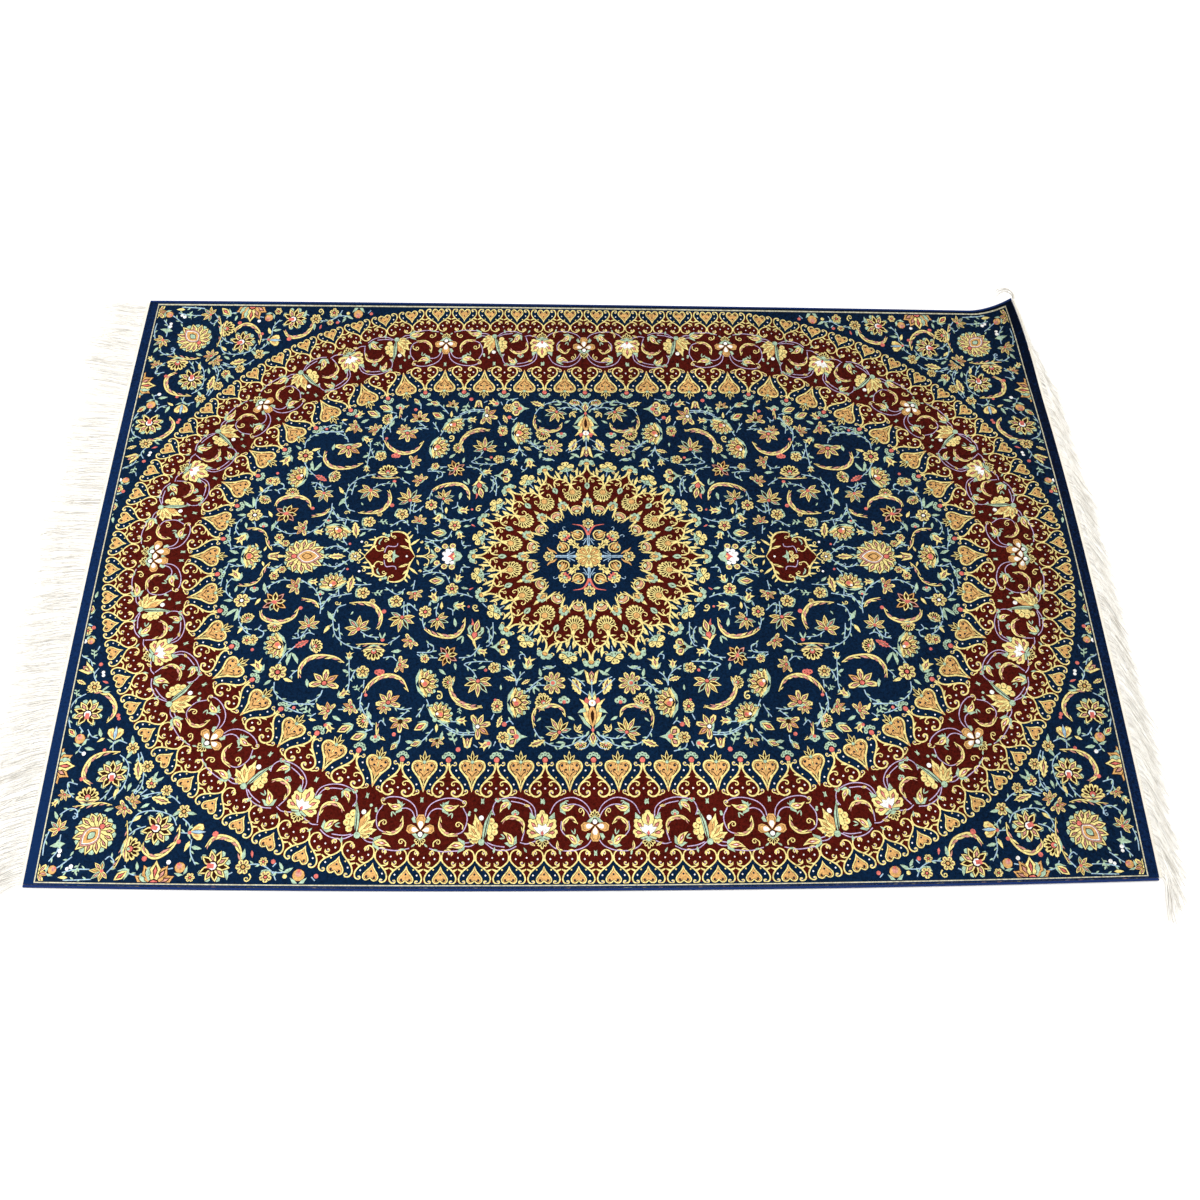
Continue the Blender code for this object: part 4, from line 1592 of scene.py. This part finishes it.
pile = {
    "colours": {
        "navy": "#03172e",
        "red": "#3f0b05",
        "gold": "#d9c47e",
        "apricot": "#c1945a",
        "rose": "#b98374",
        "mint": "#98b096",
        "sky": "#90aabb",
        "lavender": "#ab9ab8",
        "coral": "#c0645a",
        "ivory": "#f7f2e6",
        "brown": "#2a1109",
        # the margin's navy is painted lighter than the field's navy, for the sheen of the plain edge
        "margin": "#061b3b",
        "guard": "#b5b095",
    },
    "knot": (0.0011, 0.0009),  # one knot along the rug and across it
    "knotDepth": 0.00025,
    "height": 0.0035,
}


def silk(yarn, code):
    # painted sheen: the plain margin gets a stronger painted gradient of light and shade below, and a darker
    # deep tone
    lean = 2.6 if yarn == "margin" else 1.0
    sheen = {"Sheen_Weight": 0.015, "Sheen_Roughness": 0.4, "Sheen_Tint": colourOf(code, 1.4)}
    finish = Finish("silk_" + yarn, Roughness=0.7, Specular_IOR_Level=0.03, **sheen)
    place = finish.place()
    x, y, z = finish.split(place)
    # each knot takes the dye differently, and the dye changes in bands
    knotTone = finish.grain(place, (pile["knot"][0], pile["knot"][1], 1.0))
    fleck = finish.noise(place, 240.0, 2.0)
    abrash = finish.noise(finish.stretched(place, (9, 0.7, 1)), 1.0, 4.0)
    wear = finish.noise(place, 7.0, 5.0)
    spread = 0.32 if yarn in ("navy", "red", "margin") else 0.5
    deep, pale = colourOf(code, spread / lean**0.5), colourOf(code, 2 - spread + 0.02)
    tone = 0.5 + (knotTone - 0.5) * 0.5 + (fleck - 0.5) * 1.5 + (abrash - 0.5) * 0.4
    tone = (tone + (wear - 0.5) * 0.35).clamped()
    # painted sheen and shade of the nap: lighter towards the front and left, darker towards the right end
    tone = (tone + y * (-0.22 * lean) + x * (-0.16 * lean)).clamped()
    finish.feed("Base Color", finish.mixed(tone, deep, pale))
    finish.feed("Roughness", (0.74 - tone * 0.14).clamped())
    rows = x.ribs(pile["knot"][0]) * y.ribs(pile["knot"][1])
    nap = finish.noise(finish.stretched(place, (900, 420, 900)), 1.0, 2.0)
    finish.bump(rows * 0.7 + nap * 0.5, pile["knotDepth"], 0.55)
    return finish.material


print("weaving the pile")


def inside(outline, places):
    # which places an outline winds round
    after = np.roll(outline, -1, 0)
    x, y = places[:, :1], places[:, 1:]
    rises = (outline[:, 1] <= y) & (after[:, 1] > y)
    falls = (outline[:, 1] > y) & (after[:, 1] <= y)
    side = after - outline
    leftOf = side[:, 0] * (y - outline[:, 1]) - (x - outline[:, 0]) * side[:, 1]
    return ((rises & (leftOf > 0)).sum(1) - (falls & (leftOf < 0)).sum(1)) != 0


def yarnsAt(places, laid):
    # the last shape laid over a place wins
    yarns = np.full(len(places), "navy", dtype="U12")
    for yarn, outline in laid[1:]:
        low, high = outline.min(axis=0), outline.max(axis=0)
        near = np.nonzero(((places > low) & (places < high)).all(axis=1))[0]
        yarns[near[inside(outline, places[near])]] = yarn
    yarns[(places > (gx, gy)).any(axis=1)] = "margin"
    return yarns


def triangulated(corners, edges, faces, edge):
    corners = [Vector(corner) for corner in corners.tolist()]
    points, _, triangles, *_ = delaunay_2d_cdt(corners, edges, faces, 0, 1e-5, False)
    points, triangles = np.array([(p.x, p.y) for p in points]), np.array(triangles)
    triangles = triangles[inside(edge, points[triangles].mean(axis=1))]
    return points, triangles


def layTile(x, y, wide, deep, lines):
    # one flat mesh of a tile of the quarter
    edge = np.array([(x, y), (x + wide, y), (x + wide, y + deep), (x, y + deep)])
    laid = [("navy", edge)] + [shapes[i] for i in inTile(x, y, wide, deep)]
    corners = np.vstack([outline for _, outline in laid] + lines)
    starts = np.cumsum([0] + [len(outline) for _, outline in laid])
    faces = [list(range(a, b)) for a, b in zip(starts, starts[1:])]
    first = int(starts[-1])
    edges = [(first + 2 * i, first + 2 * i + 1) for i in range(len(lines))]
    points, triangles = triangulated(corners, edges, faces, edge)
    yarns = yarnsAt(points[triangles].mean(axis=1), laid)
    if not lines:
        # again, from only the edges where one yarn meets another
        codes = np.repeat(np.unique(yarns, return_inverse=True)[1], 3)
        sides = np.sort(triangles[:, [0, 1, 1, 2, 2, 0]].reshape(-1, 2), axis=1)
        sides, owner, times = np.unique(sides, axis=0, return_inverse=True, return_counts=True)
        owner = owner.reshape(-1)
        low, high = np.full(len(sides), 99), np.full(len(sides), -1)
        np.minimum.at(low, owner, codes)
        np.maximum.at(high, owner, codes)
        used, seams = np.unique(sides[(times == 1) | (low != high)], return_inverse=True)
        points, triangles = triangulated(points[used], seams.reshape(-1, 2).tolist(), [], edge)
        yarns = yarnsAt(points[triangles].mean(axis=1), laid)
    return points, triangles, yarns


lows = np.array([outline.min(axis=0) for _, outline in shapes])
highs = np.array([outline.max(axis=0) for _, outline in shapes])


def inTile(x, y, wide, deep):
    return np.nonzero(((lows < (x + wide, y + deep)) & (highs > (x, y))).all(axis=1))[0]


def layPattern():
    across, down = 12, 8
    wide, deep = design["halfLength"] / across, design["halfWidth"] / down
    # lines across the curled corner, so that it bends smoothly
    c, s = math.cos(rug["curlHeading"]), math.sin(rug["curlHeading"])
    left = rug["curlReach"] * 1000 * (1 - np.arange(20) / 20)
    lines = [np.array([(760 - reach / c, 500.0), (760.0, 500 - reach / s)]) for reach in left]
    points, faces, yarns, count = [], [], [], 0
    for i in range(across):
        for k in range(down):
            nearCurl = i >= across - 2 and k >= down - 4
            tile = (i * wide, k * deep, wide, deep, lines if nearCurl else [])
            tilePoints, tileFaces, tileYarns = layTile(*tile)
            points.append(tilePoints)
            faces.append(tileFaces + count)
            yarns.append(tileYarns)
            count += len(tilePoints)
    # join the tiles along their edges
    points, faces = np.vstack(points), np.vstack(faces)
    _, first, same = np.unique(np.round(points, 4), axis=0, return_index=True, return_inverse=True)
    points, faces, yarns = points[first], same.reshape(-1)[faces], np.concatenate(yarns)
    # a sliver thinner than a fibre would only spoil the shading
    sides = np.roll(points[faces], -1, 1) - points[faces]
    areas = abs(sides[:, 0, 0] * sides[:, 1, 1] - sides[:, 0, 1] * sides[:, 1, 0])
    sound = areas > 0.004 * np.linalg.norm(sides, axis=2).max(axis=1)
    return points, faces[sound], yarns[sound]


quarterPoints, quarterFaces, quarterYarns = layPattern()
print("  triangles in a quarter:", len(quarterFaces))


def wholePattern(chosen, name, material):
    # the chosen triangles in all four quarters, moved onto the rug
    used, faces = np.unique(quarterFaces[chosen], return_inverse=True)
    faces = faces.reshape(-1, 3)
    points, corners, flat = [], [], []
    for sx, sy in ((1, 1), (-1, 1), (1, -1), (-1, -1)):
        x, y = (quarterPoints[used] * (sx, sy)).T
        x = x + design["middle"][0] * (1 - (x / 760) ** 2)
        y = y + design["middle"][1] * (1 - (y / 500) ** 2)
        x, y = strayed(x, y)
        u, v = x / 1000, -y / 1000
        corners.append((faces if sx * sy < 0 else faces[:, ::-1]) + len(used) * len(points))
        points.append(drape(u, v, pile["height"]))
        flat.append(np.column_stack([(u + 0.78) / 1.56, (v + 0.53) / 1.06]))
    points, corners = np.vstack(points), np.vstack(corners).ravel().astype(np.int32)
    mesh = bpy.data.meshes.new(name)
    mesh.vertices.add(len(points))
    mesh.vertices.foreach_set("co", points.astype(np.float32).ravel())
    mesh.loops.add(len(corners))
    mesh.loops.foreach_set("vertex_index", corners)
    mesh.polygons.add(len(corners) // 3)
    mesh.polygons.foreach_set("loop_start", np.arange(0, len(corners), 3, dtype=np.int32))
    mesh.update(calc_edges=True)
    layer = mesh.uv_layers.new(name="OFBake")
    layer.data.foreach_set("uv", np.vstack(flat).astype(np.float32)[corners].ravel())
    mesh.shade_smooth()
    mesh.materials.append(material)
    return linked(name, mesh, "silk_pile")


silks = {yarn: silk(yarn, code) for yarn, code in pile["colours"].items()}
middles = quarterPoints[quarterFaces].mean(axis=1)
across = np.hypot(np.maximum(middles[:, 0] - design["spine"], 0), middles[:, 1])
zones = {"_field": across < 310, "_inner": (across >= 310) & (across < 378), "_outer": across >= 378}
for yarn in pile["colours"]:
    # the grounds, the gold and the brown are split between the field and the bands
    parted = yarn in ("navy", "red", "gold", "brown")
    for zone, area in zones.items() if parted else [("", across >= 0)]:
        part = (quarterYarns == yarn) & area
        if part.any():
            wholePattern(part, "pile_" + yarn + zone, silks[yarn])
            print("   ", yarn + zone, int(part.sum()) * 4)

print("the back, the cords and the fringes")

backing = {"columns": 120, "rows": 80, "top": 0.0034}


def backFinish():
    # the knots' backs: the grounds of the bands, with flecks of the other yarns
    finish = Finish("rug_back", Roughness=0.8, Specular_IOR_Level=0.25)
    place = finish.place()
    x, y, z = finish.split(place)
    spine = design["spine"] / 1000
    beyond = (abs(x) - spine).maths("MAXIMUM", abs(x) - spine, 0.0)
    out = (beyond * beyond + y * y) ** 0.5
    inRed = (out > 0.376) * (out < 0.462)
    inMedallion = (x * x + y * y) ** 0.5 < 0.15
    ground = finish.mixed((inRed + inMedallion).clamped(), colourOf("#22375f"), colourOf("#6b2a2c"))
    cells = finish.node("ShaderNodeTexVoronoi", {}, {"Vector": place, "Scale": 85.0}, "Distance")
    motif = finish.node("ShaderNodeTexVoronoi", {}, {"Vector": place, "Scale": 46.0}, "Color")
    fleck = (0.34 - cells).clamped() * 7.0
    flecked = finish.mixed(fleck.clamped(), ground, finish.mixed(0.45, colourOf("#d9c58a"), motif))
    grain = finish.grain(place, (0.0011, 0.0009, 1.0))
    finish.feed("Base Color", finish.mixed((grain * 0.35).clamped(), flecked, colourOf("#b9ad97")))
    finish.bump(x.ribs(0.0011) * y.ribs(0.0009), 0.0003, 0.8)
    return finish.material


def stations(end, zone, flatSteps, curlSteps):
    # close together over the last stretch, where the corner rolls up
    start = end - zone
    flat = np.linspace(-end, start, flatSteps, endpoint=False)
    return [*flat, *np.linspace(start, end, curlSteps + 1)]


def makeBack():
    us = stations(rug["halfLength"], 0.1, backing["columns"] - 30, 30)
    vs = stations(rug["halfWidth"], 0.22, backing["rows"] - 40, 40)
    bm = bmesh.new()
    bentGrid(bm, us, vs, lambda u, v: drape(u, v, 0.0))
    mesh = meshFrom(bm, "rug_back", backFinish())
    mesh.shade_smooth()
    back = linked("rug_back", mesh, "silk_pile", "pile_sheet")
    shell = back.modifiers.new("thickness", "SOLIDIFY")
    shell.thickness, shell.offset = backing["top"], 1.0
    return back


back = makeBack()

overcast = {
    "radius": 0.0019,
    "gap": 0.0003,
    "pitch": 0.0022,
    "swell": 0.00012,
    "roundness": 4,
    "colour": "#10285a",
}


def overcastFinish():
    finish = Finish("silk_overcast", Roughness=0.7, Sheen_Weight=0.04, Specular_IOR_Level=0.1)
    place = finish.place()
    x, y, z = finish.split(place)
    wraps = abs(x.maths("SINE", x * (math.pi / 0.0011) + y * 300.0 + z * 260.0))
    strand = finish.noise(finish.stretched(place, (1500, 160, 300)), 1.0, 3.0)
    # the colour is darker in the grooves between the wraps: painted shade; the strand noise is the silk's own
    # tone
    tone = (wraps * 0.55 + strand * 0.5 + finish.noise(place, 9.0) * 0.3 - 0.15).clamped()
    deep, pale = (colourOf(overcast["colour"], light) for light in (0.5, 1.5))
    finish.feed("Base Color", finish.mixed(tone, deep, pale))
    finish.bump(wraps * 0.8 + strand * 0.3, 0.0003, 0.7)
    return finish.material


overcastSilk = overcastFinish()


def threadPiece(name, node, lines, radii, material, roundness=0, tones=None):
    # thin splines, made round and then a mesh
    curve = bpy.data.curves.new(name, "CURVE")
    curve.dimensions, curve.use_fill_caps = "3D", True
    curve.bevel_depth, curve.bevel_resolution = 1.0, roundness
    for line, radius in zip(lines, radii):
        spline = curve.splines.new("POLY")
        spline.points.add(len(line) - 1)
        spline.points.foreach_set("co", np.column_stack([line, np.ones(len(line))]).ravel())
        spline.points.foreach_set("radius", radius)
    rough = linked(name + "_line", curve)
    mesh = bpy.data.meshes.new_from_object(rough.evaluated_get(bpy.context.evaluated_depsgraph_get()))
    bpy.data.objects.remove(rough)
    mesh.materials.clear()
    mesh.materials.append(material)
    mesh.shade_smooth()
    if tones is not None:
        dyed = mesh.attributes.new("tone", "FLOAT", "POINT")
        dyed.data.foreach_set("value", np.repeat(tones, len(mesh.vertices) // len(tones)).astype(np.float32))
    return linked(name, mesh, "silk_overcast" if tones is None else "silk_warp", node)


def makeSideCord(name, side):
    # a cord that lies against the sheet's long edge, wrapped tight all along
    settings = overcast
    us = np.arange(-rug["halfLength"], rug["halfLength"] + 1e-6, settings["pitch"] / 2)
    middle = side * (rug["halfWidth"] + settings["gap"] + settings["radius"])
    line = drape(us, np.full(len(us), middle), settings["radius"])
    radii = 0.98 * (settings["radius"] - settings["swell"] * (np.arange(len(us)) % 2))
    names = "overcast_" + name, "side_cord_" + name
    return threadPiece(*names, [line], [radii], overcastSilk, settings["roundness"])


cords = [makeSideCord("front", -1), makeSideCord("back", 1)]

fringe = {
    "colour": "#faf7f0",
    "shade": "#9d9482",
    "greyShare": 0.6,
    "bunchPitch": 0.0039,
    "threads": 5,
    "threadRadius": 0.00042,
    "length": 0.080,
    "steps": 8,
    "cornerFrom": 0.300,
}

wisp = {"threads": 16, "steps": 12, "start": 0.42, "turn": 0.85, "length": 0.05, "rise": 0.006}


def fringeFinish():
    finish = Finish("silk_warp", Roughness=0.7, Sheen_Weight=0.1, Specular_IOR_Level=0.3)
    place = finish.place()
    # each thread has its own tone, at random, from silk white down to a greyer colour
    thread = finish.node("ShaderNodeAttribute", {"attribute_name": "tone"}, {}, "Fac")
    tone = thread + (finish.noise(place, 60.0, 4.0) - 0.5) * 0.4
    shade, colour = colourOf(fringe["shade"]), colourOf(fringe["colour"])
    finish.feed("Base Color", finish.mixed(tone.clamped(), shade, colour))
    twist = finish.noise(finish.stretched(place, (1400, 2600, 2600)), 1.0, 2.0)
    finish.bump(twist, 0.0002, 0.6)
    return finish.material


def kilimFinish():
    finish = Finish("kilim_end", Roughness=0.8, Specular_IOR_Level=0.25)
    place = finish.place()
    x, y, z = finish.split(place)
    weave = y.ribs(0.0011) * 0.6 + x.ribs(0.0009) * 0.4
    # the colour is darker in the grooves between the threads: painted shade; the noise is the yarn's own tone
    tone = (weave * 0.7 + finish.noise(place, 90.0) * 0.4).clamped()
    finish.feed("Base Color", finish.mixed(tone, colourOf("#b9b09e"), colourOf("#fbf7ec")))
    finish.bump(weave, 0.0003, 0.8)
    return finish.material


warpSilk = fringeFinish()
kilimWeave = kilimFinish()


def leanLeft(v):
    share = v / rug["halfWidth"]
    wander = 0.05 * np.sin(23 * v) + 0.04 * np.sin(61 * v + 1)
    return 0.33 * share - 0.08 + wander - 0.25 * np.maximum(0, -share) ** 12


def leanRight(v):
    # swept to the front, and past the front corner in a blunt tuft
    return -1.20 + 0.03 * np.sin(19 * v) - 0.62 * np.exp((-rug["halfWidth"] - v) / 0.022)


def lengthLeft(v):
    return fringe["length"] * (1 + 0.06 * np.sin(37 * v) + 0.04 * np.sin(113 * v))


def lengthRight(v):
    return fringe["length"] * (0.93 + 0.05 * np.sin(41 * v))


def makeFringe(name, side, start, end, leanAt, lengthAt, rise):
    settings = fringe
    bunches = int((end - start) / settings["bunchPitch"])
    middles = np.linspace(start, end, bunches, endpoint=False) + settings["bunchPitch"] / 2
    middles = np.repeat(middles, settings["threads"])
    count, steps = len(middles), settings["steps"]
    bunch = np.repeat(np.arange(bunches), settings["threads"])
    bunchLean = rng.normal(0, 0.05, bunches)[bunch]
    bunchLength = rng.normal(1, 0.05, bunches)[bunch]
    root = middles + rng.uniform(-0.42, 0.42, count) * settings["bunchPitch"]
    lean = leanAt(middles) + bunchLean + rng.normal(0, 0.06, count)
    length = lengthAt(middles) * bunchLength * rng.uniform(0.86, 1.02, count)
    share = np.linspace(0, 1, steps)
    uptake = np.minimum(1, 0.3 + share * 2.4)
    sway = rng.normal(0, 0.16, (count, 1))
    heading = lean[:, None] * uptake + sway * np.sin(share * 3 + rng.uniform(0, 6, (count, 1))) * share
    step = length[:, None] * np.diff(share, prepend=0)
    du = np.cumsum(np.cos(heading) * step, axis=1)
    dv = np.cumsum(np.sin(heading) * step, axis=1)
    edge = side * (rug["halfLength"] + 0.0003 + rug["stripWidth"])
    foot = drape(np.full(count, edge), root, 0.0011)
    lift = foot[:, 2] - 0.0011
    floor = settings["threadRadius"] + 0.0001
    low = lift[:, None] * np.maximum(0, 1 - share / 0.6) ** 1.5
    wave = rise * rng.uniform(0.1, 1, (count, 1)) * np.sin(np.pi * np.clip(share * 1.1, 0, 1))
    z = np.maximum(0.0011 * (1 - share) + low + wave, floor)
    lines = np.stack([foot[:, None, 0] + side * du, foot[:, None, 1] + dv, z], axis=-1)
    radii = settings["threadRadius"] * (1.05 - 0.35 * share)[None, :] * rng.uniform(0.85, 1.15, (count, 1))
    # painted shadow: the threads of the tuft at the front corner are darkened, for the shade under the rug's
    # corner
    tuftShadow = 0.55 * np.exp((-rug["halfWidth"] - middles) / 0.016) * (side > 0)
    # each thread is greyer at random, with more grey threads on the right end
    tones = 1 - settings["greyShare"] * rng.uniform(0, 1, count) ** (3.6 - side) - tuftShadow
    return threadPiece("fringe_threads_" + name, "fringe_" + name, lines, radii, warpSilk, tones=tones)


def makeWisp():
    # a few threads of the lifted corner stand out behind it and roll back over
    settings = wisp
    count, steps = settings["threads"], settings["steps"]
    out = rug["halfLength"] + rug["stripWidth"] * rng.uniform(0.2, 0.9, count)
    foot = drape(out, np.full(count, rug["halfWidth"] - 0.002), 0.002)
    share = np.linspace(0, 1, steps)
    heading = math.pi * (settings["start"] + settings["turn"] * share**1.3 + rng.normal(0, 0.05, (count, 1)))
    step = settings["length"] * rng.uniform(0.75, 1.05, (count, 1)) / (steps - 1) * (share > 0)
    across, along = np.cumsum(np.cos(heading) * step, axis=1), np.cumsum(np.sin(heading) * step, axis=1)
    rise = settings["rise"] * np.sin(np.pi * share) * rng.uniform(0.5, 1, (count, 1))
    z = foot[:, 2:] + rise - 0.004 * share
    lines = np.stack([foot[:, :1] + across, foot[:, 1:2] + along, z], axis=-1)
    radii = np.tile(fringe["threadRadius"] * (1.05 - 0.4 * share), (count, 1))
    tones = rng.uniform(0.2, 0.8, count)
    return threadPiece("fringe_threads_tip", "fringe_corner", lines, radii, warpSilk, tones=tones)


def makeKilim(name, side, start, end):
    # the flat woven end that the fringe hangs from, with a row of small knots
    inner = side * (rug["halfLength"] + 0.0003)
    outer = inner + side * rug["stripWidth"]
    vs = np.linspace(start, end, max(8, int((end - start) / 0.006)))
    top = rug["stripHeight"]
    corners = [(inner, 0.0), (outer, 0.0), (outer, 0.0016), (outer - side * 0.0006, top), (inner, top)]
    bm = bmesh.new()
    # a grid rolled up round the strip's five corners, then closed at both ends
    bentGrid(bm, vs, [*corners, corners[0]], lambda v, corner: drape(corner[0], v, corner[1]))
    bmesh.ops.remove_doubles(bm, verts=bm.verts, dist=1e-6)
    bmesh.ops.holes_fill(bm, edges=[edge for edge in bm.edges if edge.is_boundary])
    for v in np.arange(start + 0.002, end, fringe["bunchPitch"]):
        knot = bmesh.ops.create_icosphere(bm, subdivisions=1, radius=0.00135)
        middle = Vector(drape(outer - side * 0.0002, v, 0.0021).tolist())
        for vert in knot["verts"]:
            vert.co = middle + Vector((vert.co.x, vert.co.y * 1.15, vert.co.z * 0.75))
    bmesh.ops.recalc_face_normals(bm, faces=bm.faces)
    return linked("kilim_" + name, meshFrom(bm, "kilim_" + name, kilimWeave), "silk_warp", "fringe_" + name)


front, split, end = -rug["halfWidth"], fringe["cornerFrom"], rug["halfWidth"]
ends = {
    "left": (-1, front, end, leanLeft, lengthLeft, 0.0022),
    "right": (1, front, split - 0.0003, leanRight, lengthRight, 0.0034),
    "corner": (1, split, end, leanRight, lengthRight, 0.0034),
}
fringes = [makeFringe(name, *settings) for name, settings in ends.items()]
tipWisp = makeWisp()
kilims = [makeKilim(name, *settings[:3]) for name, settings in ends.items()]

print("the floor, the lights and the camera")

studio = {"floorColour": "#f4f3f1", "skyLight": 0.95, "keyWatts": 60.0, "fillWatts": 25.0}


def makeFloor():
    bm = bmesh.new()
    bmesh.ops.create_grid(bm, x_segments=8, y_segments=8, size=7.0)
    bmesh.ops.translate(bm, verts=bm.verts, vec=(0, 0, -0.0002))
    finish = Finish("studio_floor", Roughness=0.9, Specular_IOR_Level=0.1)
    finish.shader.inputs["Base Color"].default_value = colourOf(studio["floorColour"])
    floor = linked("floor", meshFrom(bm, "floor", finish.material))
    return floor


floor = makeFloor()

scene = bpy.context.scene
world = bpy.data.worlds.new("studio")
world.use_nodes = True
sky = world.node_tree.nodes["Background"].inputs
sky["Color"].default_value, sky["Strength"].default_value = (1.0, 1.0, 1.0, 1), studio["skyLight"]
scene.world = world


def softLight(name, place, size, watts):
    # a round lamp that looks at the middle of the rug
    lamp = bpy.data.lights.new(name, "AREA")
    lamp.shape, lamp.size, lamp.energy = "DISK", size, watts
    light = linked(name, lamp)
    light.location = place
    light.rotation_euler = (-Vector(place)).to_track_quat("-Z", "Y").to_euler()


softLight("key", (-1.6, -0.4, 2.9), 1.6, studio["keyWatts"])
softLight("fill", (1.8, 1.4, 2.6), 2.0, studio["fillWatts"])

view = bpy.data.cameras.new("view")
view.lens, view.sensor_width, view.clip_end = 34.54, 36.0, 60.0
camera = linked("view", view)
across, upward, towards = table("0.9993 -0.0147 0.03426, -0.00296 0.8848 0.46596, -0.03717 -0.46573 0.88414")
turned = Matrix((across, upward, towards)).transposed().to_4x4()
camera.matrix_world = Matrix.Translation((-0.06031, -0.88473, 1.53913)) @ turned
scene.camera = camera
scene.view_settings.view_transform = "Standard"
scene.view_settings.look = "None"

print("done")
